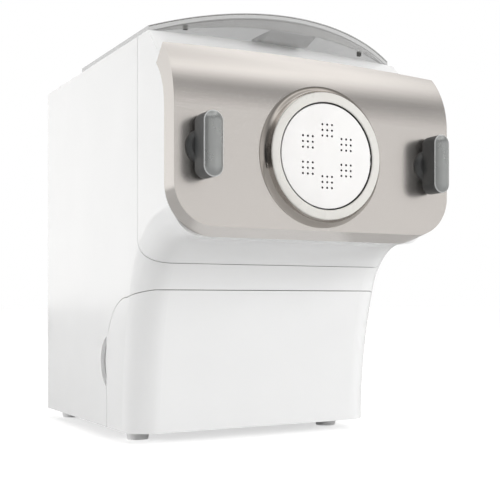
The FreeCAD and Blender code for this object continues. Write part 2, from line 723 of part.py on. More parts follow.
paddle_radius = size.bowl_radius - size.paddle_gap
hub_bore = size.shaft_radius + size.running_gap
paddle_back = seal_front + 4
paddle_front = shaft_front - 1
hub = rod("paddle_hub", size.shaft_radius + 5, paddle_front - paddle_back, 0, paddle_back, size.axis_height)
arms = []
arm_margin = 5
for number in range(4):
    depth = paddle_back + arm_margin + (paddle_front - paddle_back - arm_margin * 2) * (number / 3)
    arm = rod("paddle_arm_%d" % (number + 1), 3.6, paddle_radius, 0, depth, size.axis_height, "up")
    arm.Placement = FreeCAD.Placement(FreeCAD.Vector(), FreeCAD.Rotation(FreeCAD.Vector(0, 1, 0), 90 * number))
    bind(arm, "Placement.Base.y", at(depth))
    bind(arm, "Placement.Base.z", size.axis_height)
    arms.append(arm)
bore_round = rod("paddle_bore", hub_bore, 200, 0, size.bowl_back_depth, size.axis_height)
keep(cut("mixing_paddle", fuse("paddle_blank", [hub] + arms), [bore_round]), "mixing_paddle")


def auger_shape():
    """The feed screw: one helical flight of flat facets round a core, square at both ends."""
    radius = size.tube_radius.value - size.auger_gap.value
    core = size.auger_core.value
    pitch = size.auger_pitch.value
    thick = size.flight_thick.value
    back = shaft_front.value
    front = size.disc_depth.value - size.disc_thick.value - 1.5
    span = front - back
    steps_per_turn = 16
    stations = int(steps_per_turn * (span - thick * 2) / pitch)
    section = ((core - thick / 2, -thick * 0.7), (radius, -thick / 2), (radius, thick / 2), (core - thick / 2, thick * 0.7))
    rings = []
    for station in range(stations + 1):
        angle = 2 * math.pi * station / steps_per_turn
        height = thick + pitch * station / steps_per_turn
        rings.append([FreeCAD.Vector(reach * math.cos(angle), reach * math.sin(angle), height + lift)
                      for reach, lift in section])
    corners = []
    for near, far in zip(rings, rings[1:]):
        for side in range(4):
            after = (side + 1) % 4
            corners.append((near[side], near[after], far[after]))
            corners.append((near[side], far[after], far[side]))
    for end in (rings[0], rings[-1]):
        corners.append((end[0], end[1], end[2]))
        corners.append((end[0], end[2], end[3]))
    facets = [Part.Face(Part.makePolygon([a, b, c, a])) for a, b, c in corners]
    flight = Part.makeSolid(Part.makeShell(facets))
    if flight.Volume < 0:
        flight.reverse()
    screw = flight.fuse(Part.makeCylinder(core, span))
    screw.rotate(FreeCAD.Vector(), FreeCAD.Vector(1, 0, 0), 90)
    screw.translate(FreeCAD.Vector(0, at(back).value, size.axis_height.value))
    return screw


keep(made("auger", auger_shape()), "auger")

# Gear train

def gear_shape(teeth, module, face, bore, phase=0.0):
    """A spur gear about Z: straight-flanked teeth, narrow at the tip and wide at the root."""
    pitch_radius = teeth * module / 2
    half_tooth = math.pi * module / 4 * 0.9
    corners = []
    for tooth in range(int(teeth)):
        middle = 2 * math.pi * tooth / teeth + math.radians(phase)
        for radius, share, side in ((-1.25, 1.15, -1), (0, 1, -1), (1, 0.5, -1), (1, 0.5, 1), (0, 1, 1), (-1.25, 1.15, 1)):
            distance = pitch_radius + radius * module
            angle = middle + side * half_tooth * share / distance
            corners.append(FreeCAD.Vector(distance * math.cos(angle), distance * math.sin(angle), 0))
    outline = Part.Face(Part.makePolygon(corners + corners[:1]))
    return outline.extrude(FreeCAD.Vector(0, 0, face)).cut(Part.makeCylinder(bore, face))


def place_on_axis(shape, depth, height):
    """Stand a shape made along Z on a line that points forwards."""
    shape.rotate(FreeCAD.Vector(), FreeCAD.Vector(1, 0, 0), 90)
    shape.translate(FreeCAD.Vector(0, at(depth).value, height.value))
    return shape


gear_depth = size.case_back_depth + size.case_wall + 1.5
fine_depth = gear_depth + size.gear_face + 1
idler_height = size.axis_height - (size.output_teeth + size.pinion_teeth) * size.coarse_module / 2
motor_height = idler_height - (size.wheel_teeth + size.pinion_teeth) * size.fine_module / 2

output = gear_shape(size.output_teeth.value, size.coarse_module.value, size.gear_face.value, size.shaft_radius.value)
lightening = 28
for number in range(6):
    angle = math.radians(60 * number)
    window = Part.makeCylinder(8, size.gear_face.value)
    window.translate(FreeCAD.Vector(lightening * math.cos(angle), lightening * math.sin(angle), 0))
    output = output.cut(window)
keep(made("output_gear", place_on_axis(output, gear_depth, size.axis_height)), "output_gear")

idler_bore = size.idler_pin_radius.value + size.running_gap.value
small = gear_shape(size.pinion_teeth.value, size.coarse_module.value, size.gear_face.value + 1, idler_bore, 15)
large = gear_shape(size.wheel_teeth.value, size.fine_module.value, size.fine_face.value, idler_bore)
large.translate(FreeCAD.Vector(0, 0, size.gear_face.value + 1))
keep(made("idler_gear", place_on_axis(small.fuse(large).removeSplitter(), gear_depth, idler_height)), "idler_gear")

drive_pinion = gear_shape(size.pinion_teeth.value, size.fine_module.value, size.fine_face.value,
                          size.motor_shaft_radius.value, 15)
keep(made("motor_pinion", place_on_axis(drive_pinion, fine_depth, motor_height)), "motor_pinion")
keep(rod("idler_pin", size.idler_pin_radius, size.case_front_depth - size.case_back_depth, 0, size.case_back_depth,
         idler_height), "idler_pin")

# Gear case in two halves

case_half = 52
case_low = motor_height - 22
case_high = size.axis_height + case_half


def case_form(label, inset, back, front, holes=()):
    wide = case_half - length(inset)
    bend = 20 - length(inset)
    low = case_low + inset
    high = case_high - inset
    return forwards(label, [
        line(-wide, low + bend), arc(bend - wide, low, bend, 1), line(wide - bend, low),
        arc(wide, low + bend, bend, 1), line(wide, high - bend), arc(wide - bend, high, bend, 1),
        line(bend - wide, high), arc(-wide, high - bend, bend, 1)], back, front, holes)


motor_journal = size.motor_shaft_radius + size.running_gap
keep(case_form("gear_case_cover", 0, size.case_back_depth, case_back_plate, [
    (0, size.axis_height, tail_bearing_outer), (0, idler_height, size.idler_pin_radius),
    (0, motor_height, motor_journal + 0.5)]), "gear_case_cover")
case_blank = case_form("case_blank", 0, case_back_plate, size.case_front_depth)
case_hollow = case_form("case_hollow", size.case_wall, case_back_plate - 1, case_front_inner)
keep(cut("gear_case", case_blank, [
    case_hollow, rod("case_bearing_hole", bearing_outer, 20, 0, size.case_front_depth - 10, size.axis_height),
    rod("case_pin_hole", size.idler_pin_radius, 20, 0, size.case_front_depth - 10, idler_height)]), "gear_case")

# Motor: stator can, rotor, fan and brackets

motor_front = size.case_back_depth
motor_inner = size.motor_radius - 9
can_wall = 3
can_outer = rod("motor_can_outer", size.motor_radius, motor_front - size.motor_back_depth, 0, size.motor_back_depth,
                motor_height)
can_hollow = rod("motor_can_hollow", motor_inner, motor_front - size.motor_back_depth - can_wall * 2, 0,
                 size.motor_back_depth + can_wall, motor_height)
can_bore = rod("motor_can_bore", motor_journal, 100, 0, size.motor_back_depth - 5, motor_height)
can_windows = []
for number in range(6):
    angle = math.radians(60 * number + 30)
    can_windows.append(rod("motor_window_%d" % (number + 1), 5, can_wall + 2, 19 * math.cos(angle),
                           size.motor_back_depth - 1, motor_height + 19 * math.sin(angle)))
keep(cut("motor_can", can_outer, [can_hollow, can_bore] + can_windows), "motor_can")

rotor_back = size.motor_back_depth - 9
keep(turned("motor_rotor", steps_of([
    (rotor_back, 0), (rotor_back, size.motor_shaft_radius), (size.motor_back_depth + 8, size.motor_shaft_radius),
    (size.motor_back_depth + 8, size.armature_radius), (motor_front - 16, size.armature_radius),
    (motor_front - 16, size.motor_shaft_radius + 1.5), (motor_front - 13, size.motor_shaft_radius + 1.5),
    (motor_front - 13, size.motor_shaft_radius + 8), (motor_front - 5, size.motor_shaft_radius + 8),
    (motor_front - 5, size.motor_shaft_radius), (fine_depth + size.fine_face, size.motor_shaft_radius),
    (fine_depth + size.fine_face, 0)]), motor_height), "motor_rotor")

fan_depth = rotor_back + 0.5
fan_face = 7


def fan_shape():
    """A cooling fan: a hub, a thin back plate and curved radial blades."""
    bore = size.motor_shaft_radius.value
    fan = Part.makeCylinder(bore + 4, fan_face).fuse(Part.makeCylinder(size.motor_radius.value - 6, 1))
    for number in range(9):
        blade = Part.makeBox(size.motor_radius.value - 14, 1.2, fan_face, FreeCAD.Vector(bore + 3.5, 0, 0))
        blade.rotate(FreeCAD.Vector(), FreeCAD.Vector(0, 0, 1), 40 * number)
        fan = fan.fuse(blade)
    return fan.cut(Part.makeCylinder(bore, fan_face)).removeSplitter()


keep(made("cooling_fan", place_on_axis(fan_shape(), fan_depth, motor_height)), "cooling_fan")

# Knobs: T-bar grip, hub and spindle, with a bayonet pin in a socket behind the fascia.

for side, name in ((-1, "left"), (1, "right")):
    x = size.knob_spread * side
    half_wide = size.knob_wide / 2
    straight = size.knob_tall / 2 - half_wide
    grip = forwards(name + "_knob_bar", [
        line(x + half_wide, size.axis_height + straight),
        arc(x, size.axis_height + straight + half_wide, half_wide, 1),
        arc(x - half_wide, size.axis_height + straight, half_wide, 1),
        line(x - half_wide, size.axis_height - straight),
        arc(x, size.axis_height - straight - half_wide, half_wide, 1),
        arc(x + half_wide, size.axis_height - straight, half_wide, 1)],
        size.knob_back_depth, size.knob_front_depth)
    front_edges = [edge_name for edge_name, edge in edge_names(grip.Tip)
                   if edge.BoundBox.YLength < 0.01 and edge.BoundBox.YMax < at(size.knob_front_depth - 1).value]
    bar = grip.Tip
    bevel = grip.newObject("PartDesign::Chamfer", "bevel")
    bevel.Base = (bar, front_edges)
    bind(bevel, "Size", size.knob_bevel)
    doc.recompute()
    hub_turn = turned(name + "_knob_hub", steps_of([
        (panel_front + size.fit_gap, 0), (panel_front + size.fit_gap, size.knob_hub_radius),
        (size.knob_back_depth + 1, size.knob_hub_radius - 1), (size.knob_back_depth + 1, 0)]), side=x)
    keep(fuse(name + "_knob", [grip, hub_turn]), name + "_knob")
    spindle = rod(name + "_spindle_round", size.spindle_radius, panel_front + size.fit_gap - (size.face_depth - 14), x,
                  size.face_depth - 14, size.axis_height)
    cross = rod(name + "_spindle_cross", size.cross_pin_radius, size.cross_pin_length, x - size.cross_pin_length / 2,
                size.face_depth - 10, size.axis_height, "right")
    keep(fuse(name + "_knob_spindle", [spindle, cross]), name + "_knob_spindle")
    socket_outer = rod(name + "_socket_outer", size.socket_radius, size.wall + 14, x, size.face_depth - size.wall - 14,
                       size.axis_height)
    inward = x - size.socket_flange * side
    edges = (x - size.socket_radius, inward) if side < 0 else (inward, x + size.socket_radius)
    socket_flange = block(name + "_socket_flange", edges,
                          (size.face_depth - size.wall - 2.3, size.face_depth - size.wall - size.fit_gap),
                          (size.axis_height - size.socket_flange, size.axis_height + size.socket_flange))
    socket_bore = rod(name + "_socket_bore", size.spindle_radius + size.running_gap, 30, x, size.face_depth - 20,
                      size.axis_height)
    socket_room = rod(name + "_socket_room", size.cross_pin_length / 2 + 0.3, 5, x, size.face_depth - 12.5,
                      size.axis_height)
    keep(cut(name + "_bayonet_socket", fuse(name + "_socket_blank", [socket_outer, socket_flange]),
             [socket_bore, socket_room]), name + "_bayonet_socket")

# Lid: an arched shell with a curved front, hinge knuckles at the back and a finger grip at the front.

lid_half = size.lid_width / 2
lid_low = size.body_top + size.lid_step


def arch_radius(half, rise):
    return (half * half + rise * rise) / (rise * 2)


def lid_form(label, inset, low):
    half = lid_half - inset
    back = size.lid_back_depth + inset
    lean = size.lid_back_lean
    corner = size.lid_corner_depth - inset
    nose = size.lid_nose_depth - inset
    high = size.lid_top - inset
    edge = size.lid_edge - inset
    plan = upwards(label + "_plan", [
        line(half, at(back)), line(-half, at(back)), line(-half, at(corner)),
        arc(half, at(corner), arch_radius(half, nose - corner), 1)], low, high + 1)
    arch = forwards(label + "_arch", [
        line(half, edge), arc(-half, edge, arch_radius(half, high - edge), 1),
        line(-half, low), line(half, low)], back - 1, nose + 1)
    lean_cut = across(label + "_lean", [
        line(at(back), low - 1), line(at(back - 10), low - 1), line(at(back - 10), high + 2),
        line(at(back + lean), high + 2)], size.lid_width + 10)
    return cut(label, common(label + "_blank", [plan, arch]), [lean_cut])


under_arch = forwards("under_arch", [
    line(-lid_half, lid_low - 1), line(lid_half, lid_low - 1), line(lid_half, lid_low),
    arc(-lid_half, lid_low, arch_radius(lid_half, size.lid_rise), 1)], size.fascia_depth, size.lid_nose_depth + 1)
lid_shell = cut("lid_shell", lid_form("lid_outer", length(0), lid_low),
                [lid_form("lid_inner", size.lid_wall, lid_low - 1), under_arch])
bracket_half = size.knuckle_length / 2 + size.hinge_bracket + 1
slots, knuckles, webs, bores = [], [], [], []
for side, name in ((-1, "left"), (1, "right")):
    centre = size.hinge_spread * side
    half_knuckle = size.knuckle_length / 2
    slots.append(block(name + "_hinge_slot", (centre - bracket_half, centre + bracket_half),
                       (size.lid_back_depth - 5, size.hinge_depth + 7), (size.body_top - 5, size.lid_top + 5)))
    knuckles.append(rod(name + "_knuckle", size.knuckle_radius, size.knuckle_length, centre - half_knuckle,
                        size.hinge_depth, size.hinge_height, "right"))
    webs.append(block(name + "_hinge_web", (centre - half_knuckle, centre + half_knuckle),
                      (size.hinge_depth, size.hinge_depth + 12),
                      (size.hinge_height - 1, size.hinge_height + size.knuckle_radius - 0.5)))
    webs.append(block(name + "_hinge_tab", (centre - bracket_half, centre + bracket_half),
                      (size.hinge_depth + 7, size.hinge_depth + 12),
                      (size.hinge_height - 1, size.hinge_height + size.knuckle_radius + 1)))
    bores.append(rod(name + "_knuckle_bore", size.hinge_pin_radius + size.running_gap, 40, centre - 20,
                     size.hinge_depth, size.hinge_height, "right"))
lid_arched = fuse("lid_with_knuckles", [cut("lid_slotted", lid_shell, slots)] + knuckles + webs)
keep(cut("lid", lid_arched, bores), "lid")

grip_top = lid_low + size.lid_rise - size.fit_gap * 2
grip_low = size.body_top + size.crown_rise + 1.2
keep(across("lid_grip", [
    line(at(size.grip_depth + 4), grip_top), line(at(size.grip_depth - 24), grip_top),
    line(at(size.grip_depth - 24), grip_low), line(at(size.grip_depth - 17), grip_low),
    line(at(size.grip_depth - 11), grip_low - 3.2), line(at(size.grip_depth - 6), grip_low - 3.2),
    line(at(size.grip_depth + 5), grip_top - 0.8)], size.grip_width), "lid_grip")

brackets, pins = [], []
for side, name in ((-1, "left"), (1, "right")):
    centre = size.hinge_spread * side
    for reach, part in ((-1, "inner"), (1, "outer")):
        start = centre + (size.knuckle_length / 2 + 0.4) * reach
        edges = (start, start + size.hinge_bracket) if reach > 0 else (start - size.hinge_bracket, start)
        ear = across("%s_%s_bracket" % (name, part), [
            line(at(size.hinge_depth - 4), size.body_top), line(at(size.hinge_depth + 4), size.body_top),
            line(at(size.hinge_depth + 3), size.hinge_height + 1),
            arc(at(size.hinge_depth - 3), size.hinge_height + 1, 3.2, 1)],
            size.hinge_bracket, (edges[0] + edges[1]) / 2)
        brackets.append(ear)
    pins.append(rod(name + "_pin", size.hinge_pin_radius, size.knuckle_length + size.hinge_bracket * 2 + 0.8,
                    centre - (size.knuckle_length / 2 + size.hinge_bracket + 0.4), size.hinge_depth,
                    size.hinge_height, "right"))
pin_bores = [rod("bracket_bore_%s" % name, size.hinge_pin_radius, 40, size.hinge_spread * side - 20, size.hinge_depth,
                 size.hinge_height, "right") for side, name in ((-1, "left"), (1, "right"))]
keep(cut("lid_hinge_brackets", fuse("bracket_set", brackets), pin_bores), "lid_hinge_brackets")
keep(fuse("lid_hinge_pins", pins), "lid_hinge_pins")

# Control panel, window, buttons and board on the rear of the top

pad_half = size.panel_pad_width / 2
pad_low = size.body_top - size.wall - size.pad_sink
pad_top = size.body_top + size.pad_rise
button_depth = (size.panel_pad_back + size.panel_pad_front) / 2 - 14
window_depth = (size.panel_pad_back + size.panel_pad_front) / 2 + 14
window_half = size.window_width / 2
button_places = [(name, size.button_pitch * (number - 2)) for number, name in enumerate(
    ("power_button", "program_button", "amount_button", "time_button", "start_button"))]
pad_steps = [line(-pad_half, at(size.panel_pad_back)), line(-pad_half, at(size.panel_pad_front)),
             line(pad_half, at(size.panel_pad_front)), line(pad_half, at(size.panel_pad_back))]
pad_blank = upwards("pad_blank", pad_steps, pad_low, pad_top)
window_cut = block("window_cut", (-window_half, window_half),
                   (window_depth - size.window_length / 2, window_depth + size.window_length / 2),
                   (pad_low - 1, pad_top + 1))
button_cuts = [rod(name + "_hole", size.button_radius + size.button_gap, 12, x, button_depth, pad_low - 2, "up")
               for name, x in button_places]
board_top = pad_low - size.button_travel - 0.4 - size.button_travel
posts = [rod("board_post_%d" % number, 2.5, pad_low - board_top, x, depth, board_top, "up")
         for number, (x, depth) in enumerate((x, depth) for x in (6 - pad_half, pad_half - 6)
                                             for depth in (size.panel_pad_back + 5, size.panel_pad_front - 5))]
keep(cut("control_panel", fuse("pad_with_posts", [pad_blank] + posts), [window_cut] + button_cuts), "control_panel")
keep(block("display_window", (-window_half, window_half),
           (window_depth - size.window_length / 2, window_depth + size.window_length / 2),
           (pad_top - 2, pad_top)), "display_window")
for name, x in button_places:
    cap = rod(name + "_cap", size.button_radius, pad_top + 0.6 - pad_low, x, button_depth, pad_low, "up")
    stem = rod(name + "_stem", 2, pad_low - board_top - size.button_travel - 0.2, x, button_depth,
               board_top + size.button_travel + 0.2, "up")
    keep(fuse(name, [cap, stem]), name)
keep(block("control_board", (4 - pad_half, pad_half - 4), (size.panel_pad_back + 3, size.panel_pad_front - 3),
           (board_top - size.board_thick, board_top)), "control_board")
doc.recompute()

# Cord gland in the rear wall, lid safety switch and screws

gland_inner = size.gland_radius
keep(turned("cord_gland", steps_of([
    (0.3, size.cord_bore), (0.3, gland_inner - 1.5), (0.8, gland_inner), (size.wall + 0.3, gland_inner),
    (size.wall + 0.3, gland_inner + 2), (size.wall + 3, gland_inner + 2), (size.wall + 4, gland_inner - 2),
    (size.wall + 14, gland_inner - 3), (size.wall + 14, size.cord_bore)]), size.gland_height, size.gland_side),
    "cord_gland")

screws = []
for x, z in ((-44, 20), (44, 20), (-44, -28), (44, -28)):
    screws.append(rod("case_screw_%d" % len(screws), size.screw_radius * 1.8, 2.2, x, size.case_back_depth - 2.2,
                      size.axis_height + z))
keep(fuse("gear_case_screws", screws), "gear_case_screws")

plate_screws = []
for number, (x, depth) in enumerate(((-60, 30), (60, 30), (-60, 150), (60, 150))):
    plate_screws.append(rod("plate_screw_%d" % number, size.screw_radius * 1.8, 2, x, depth, base_low - 2, "up"))
keep(fuse("base_screws", plate_screws), "base_screws")

switch_depth = size.bowl_front_depth - 20
keep(block("lid_switch", (bowl_outer + 8, bowl_outer + 16), (switch_depth - 20, switch_depth),
           (size.body_top - size.wall - 12, size.body_top - size.wall - 0.3)), "lid_switch")

doc.recompute()
for thing in doc.Objects:
    if "Invalid" in thing.State or "Error" in thing.State:
        raise RuntimeError("failed: %s %s" % (thing.Label, thing.State))
os.makedirs("parts", exist_ok=True)
for piece in nodes:
    shape = piece.Shape
    if shape.isNull() or not shape.isValid():
        raise RuntimeError("bad shape: %s" % piece.Label)
    box = shape.BoundBox
    print("%-24s solids %d  volume %9.0f  x %.1f..%.1f  y %.1f..%.1f  z %.1f..%.1f" % (
        piece.Label, len(shape.Solids), shape.Volume, box.XMin, box.XMax, box.YMin, box.YMax, box.ZMin, box.ZMax))
for piece in nodes:
    piece.Shape.exportStep("parts/%s.step" % piece.Label)
print("sub-parts:", len(nodes))
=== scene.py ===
# %% [markdown]
# # Pasta maker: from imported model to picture
#
# The object is a kitchen pasta maker about 21 cm wide and 30 cm tall. A white moulded body
# carries a brushed champagne panel with a round shaping disc held by a ring, two grey
# locking knobs, a smoked lid over the mixing bowl and a drawer in the foot.
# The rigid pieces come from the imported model. This lesson gives each one its finish, and
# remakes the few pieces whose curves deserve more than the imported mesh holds.

# %% Load the fixed frame
from math import cos, pi, radians, sin

import bmesh
import bpy
from mathutils import Matrix, Vector


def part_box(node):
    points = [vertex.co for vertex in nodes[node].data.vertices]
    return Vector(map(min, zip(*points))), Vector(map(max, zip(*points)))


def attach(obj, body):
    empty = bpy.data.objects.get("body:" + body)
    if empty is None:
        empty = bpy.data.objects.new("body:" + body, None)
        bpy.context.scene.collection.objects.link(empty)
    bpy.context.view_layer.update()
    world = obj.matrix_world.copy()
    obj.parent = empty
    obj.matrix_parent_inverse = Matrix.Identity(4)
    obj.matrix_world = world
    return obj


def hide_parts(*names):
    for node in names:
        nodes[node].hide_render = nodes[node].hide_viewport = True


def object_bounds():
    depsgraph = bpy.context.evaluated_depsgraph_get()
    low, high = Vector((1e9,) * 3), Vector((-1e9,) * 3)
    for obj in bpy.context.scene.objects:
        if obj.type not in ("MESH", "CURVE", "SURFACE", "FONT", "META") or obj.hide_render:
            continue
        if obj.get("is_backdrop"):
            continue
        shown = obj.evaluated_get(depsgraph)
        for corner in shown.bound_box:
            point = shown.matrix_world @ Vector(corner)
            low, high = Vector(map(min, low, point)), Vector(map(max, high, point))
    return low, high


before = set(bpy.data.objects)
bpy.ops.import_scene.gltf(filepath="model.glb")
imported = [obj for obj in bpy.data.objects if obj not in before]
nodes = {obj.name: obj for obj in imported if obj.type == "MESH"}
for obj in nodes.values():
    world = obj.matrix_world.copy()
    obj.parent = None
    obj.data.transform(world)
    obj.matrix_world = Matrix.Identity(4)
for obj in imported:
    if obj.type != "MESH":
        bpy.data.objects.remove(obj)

cad_low, cad_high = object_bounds()
print("nodes loaded:", len(nodes))
print("size in mm:", [round(side * 1000, 1) for side in cad_high - cad_low])

# %% [markdown]
# ## Where the photographer stood
#
# The picture is taken from the left of the front, at the height of the drawer. A camera
# that tilts up to reach the lid would lean the uprights together. A level camera with a
# small lens shift keeps them upright, as a studio camera does.

# %% Camera
camera_place = Vector((-0.34369, -0.69604, 0.10238))
looking = Vector((0.5060, 0.8625, 0.0))
lens = bpy.data.cameras.new("studio_camera")
lens.sensor_width = 36.0
lens.lens = 70.13
lens.shift_x = -0.100
lens.shift_y = 0.101
camera = bpy.data.objects.new("studio_camera", lens)
camera.location = camera_place
camera.rotation_euler = looking.to_track_quat("-Z", "Y").to_euler()
bpy.context.collection.objects.link(camera)
bpy.context.scene.camera = camera
bpy.context.scene.view_settings.view_transform = "Standard"
print("camera stands", round((camera_place - (cad_low + cad_high) / 2).length, 3), "m away")

# %% [markdown]
# ## Helpers for node trees
#
# The floor, the room and every finish are node trees that do the same few things: a small
# sum, a change of range, a blend of two colours. Each node could be added and wired by
# hand, but four helpers say it in one line and keep the longer trees readable.

# %% Node helpers
def feed(tree, value, socket):
    """A socket takes another node's output, or a plain number or colour."""
    if isinstance(value, bpy.types.NodeSocket):
        tree.links.new(value, socket)
    else:
        socket.default_value = value


def maths(tree, operation, *values):
    """One Math node over values, which are outputs or numbers."""
    node = tree.nodes.new("ShaderNodeMath")
    node.operation = operation
    for value, socket in zip(values, node.inputs):
        feed(tree, value, socket)
    return node.outputs[0]


def ranged(tree, value, start=(0.0, 1.0), end=(0.0, 1.0), smooth=False):
    """value carried from the range start to the range end."""
    node = tree.nodes.new("ShaderNodeMapRange")
    if smooth:
        node.interpolation_type = "SMOOTHSTEP"
    for title, limit in zip(("From Min", "From Max", "To Min", "To Max"), (*start, *end)):
        node.inputs[title].default_value = limit
    feed(tree, value, node.inputs["Value"])
    return node.outputs[0]


def blended(tree, factor, first, second, way="MIX"):
    """A colour between first and second, which are outputs or plain colours."""
    node = tree.nodes.new("ShaderNodeMix")
    node.data_type = "RGBA"
    node.blend_type = way
    for title, value in (("Factor", factor), ("A", first), ("B", second)):
        feed(tree, value, node.inputs[title])
    return node.outputs["Result"]


print("node helpers ready")

# %% [markdown]
# ## Floor
#
# The machine stands on a white sweep that fades into the background. The floor could be
# lit until it burns out, but that would also bleach the machine. Instead its own shader adds
# a little brightness for the rays that the camera sees, so the soft shadow still shows.

# %% Floor
floor_reach = 12.0
paper_tone = 0.80
paper_glow = 0.60
shape = bmesh.new()
bmesh.ops.create_grid(shape, x_segments=1, y_segments=1, size=floor_reach)
mesh = bpy.data.meshes.new("studio_floor")
shape.to_mesh(mesh)
shape.free()
floor = bpy.data.objects.new("studio_floor", mesh)
bpy.context.collection.objects.link(floor)

paper = bpy.data.materials.new("floor_paper")
paper.use_nodes = True
tree = paper.node_tree
tree.nodes.clear()
seen = tree.nodes.new("ShaderNodeLightPath")
plain = tree.nodes.new("ShaderNodeBsdfDiffuse")
plain.inputs["Color"].default_value = (paper_tone, paper_tone, paper_tone, 1)
glow = tree.nodes.new("ShaderNodeEmission")
glow.inputs["Color"].default_value = (1, 1, 1, 1)
direct = maths(tree, "MAXIMUM", seen.outputs["Is Camera Ray"], seen.outputs["Is Transmission Ray"])
feed(tree, maths(tree, "MULTIPLY", direct, paper_glow), glow.inputs["Strength"])
both = tree.nodes.new("ShaderNodeAddShader")
feed(tree, plain.outputs[0], both.inputs[0])
feed(tree, glow.outputs[0], both.inputs[1])
end = tree.nodes.new("ShaderNodeOutputMaterial")
feed(tree, both.outputs[0], end.inputs["Surface"])
floor.data.materials.append(paper)
floor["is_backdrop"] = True
print("floor laid at", floor.data.vertices[0].co.z)

# %% [markdown]
# ## The tones of the room
#
# Brushed metal shows the room more than it shows itself. A picture of a studio could be
# wrapped around the scene, but a ramp of greys over the height of the direction is enough
# and stays easy to change. From the ground up it holds a pale floor, a darker wall and a
# bright ceiling box.

# %% Room tones
world = bpy.data.worlds.new("studio")
bpy.context.scene.world = world
world.use_nodes = True
tree = world.node_tree
tree.nodes.clear()
room_tones = [
    (0.0, 0.70), (0.50, 0.98), (0.60, 0.88), (0.72, 0.52), (0.81, 0.33),
    (0.865, 0.72), (0.925, 1.50), (0.955, 1.10), (1.0, 0.70),
]
tones = tree.nodes.new("ShaderNodeValToRGB")
while len(tones.color_ramp.elements) < len(room_tones):
    tones.color_ramp.elements.new(0.5)
for element, (place, tone) in zip(tones.color_ramp.elements, room_tones):
    element.position = place
for element, (place, tone) in zip(tones.color_ramp.elements, room_tones):
    element.color = (tone, tone * 0.99, tone * 0.975, 1)
toward = tree.nodes.new("ShaderNodeTexCoord")
split = tree.nodes.new("ShaderNodeSeparateXYZ")
feed(tree, toward.outputs["Generated"], split.inputs[0])
feed(tree, ranged(tree, split.outputs["Z"], (-1.0, 1.0)), tones.inputs[0])
print("tones in the room:", len(room_tones))

# %% [markdown]
# ## The walls of the room
#
# The wall to the left is dim, which draws the dark edge on the side of the ring, and the far
# wall is a little brighter. Matt surfaces take only part of the room's light, so that the
# lamps shape them. The camera itself and clear plastic see a plain white background.

# %% Room walls
left_wall = ranged(tree, split.outputs["X"], (-0.92, -0.62), (0.28, 1.0), smooth=True)
far_wall = ranged(tree, split.outputs["Y"], (0.35, 0.80), (1.0, 1.28), smooth=True)
seen = tree.nodes.new("ShaderNodeLightPath")
matt_share = ranged(tree, seen.outputs["Is Diffuse Ray"], end=(1.0, 0.62))
level = maths(tree, "MULTIPLY", maths(tree, "MULTIPLY", left_wall, far_wall), matt_share)
room = blended(tree, 1.0, tones.outputs["Color"], level, "MULTIPLY")
direct = maths(tree, "MAXIMUM", seen.outputs["Is Camera Ray"], seen.outputs["Is Transmission Ray"])
sky = tree.nodes.new("ShaderNodeBackground")
feed(tree, blended(tree, direct, room, (1, 1, 1, 1)), sky.inputs["Color"])
end = tree.nodes.new("ShaderNodeOutputWorld")
feed(tree, sky.outputs[0], end.inputs[0])
print("nodes in the world:", len(tree.nodes))

# %% [markdown]
# ## Lamps
#
# Two large soft lamps do the shaping: one at the left lights the side wall, one high in
# front lights the panel and the drawer. Small lamps would draw hard shadows. Both are broad
# and hidden from glossy rays, so that the metal shows only the room.

# %% Lamps
def soft_lamp(name, place, aim, size, power):
    """A square soft lamp at place that points at aim."""
    light = bpy.data.lights.new(name, "AREA")
    light.shape = "SQUARE"
    light.size = size
    light.energy = power
    lamp = bpy.data.objects.new(name, light)
    lamp.location = place
    lamp.rotation_euler = (Vector(aim) - Vector(place)).to_track_quat("-Z", "Y").to_euler()
    lamp.visible_glossy = False
    bpy.context.collection.objects.link(lamp)


soft_lamp("left_softbox", place=(-2.50, 0.80, 0.15), aim=(0, 0, 0.08), size=1.2, power=55.0)
soft_lamp("front_softbox", place=(1.05, -1.85, 0.80), aim=(0, 0, 0.12), size=1.2, power=31.0)
print("lamps set:", len(bpy.data.lights))

# %% [markdown]
# ## Effects that several finishes share
#
# A real surface is never one value all over: plastic has grain, brushed metal has lines, and
# anything handled has faint patches of shine. The nodes for these could be copied into every
# material. A node group with named inputs and outputs is built once instead, and placed
# wherever it is needed with its own numbers.

# %% A helper for node groups
def effect(name, inputs, outputs):
    """An empty node group with float inputs, a Place vector and float outputs."""
    group = bpy.data.node_groups.new(name, "ShaderNodeTree")
    group.interface.new_socket(name="Place", in_out="INPUT", socket_type="NodeSocketVector")
    for title in inputs:
        group.interface.new_socket(name=title, in_out="INPUT", socket_type="NodeSocketFloat")
    for title in outputs:
        group.interface.new_socket(name=title, in_out="OUTPUT", socket_type="NodeSocketFloat")
    start = group.nodes.new("NodeGroupInput")
    finish = group.nodes.new("NodeGroupOutput")
    return group, start.outputs, finish.inputs


def noise(group, place, scale, detail):
    """A noise texture in a group, read at place."""
    texture = group.nodes.new("ShaderNodeTexNoise")
    for title, value in (("Vector", place), ("Scale", scale), ("Detail", detail)):
        feed(group, value, texture.inputs[title])
    return texture.outputs["Fac"]


print("node groups so far:", len(bpy.data.node_groups))

# %% [markdown]
# ## Moulded skin
#
# A mould leaves a fine spark grain, and plastic that shrinks as it cools leaves a slow wave
# under it. One noise could not give both, so two are added: the height takes a chosen share
# of the grain, and the mottle, which drifts the colour, takes a fixed one.

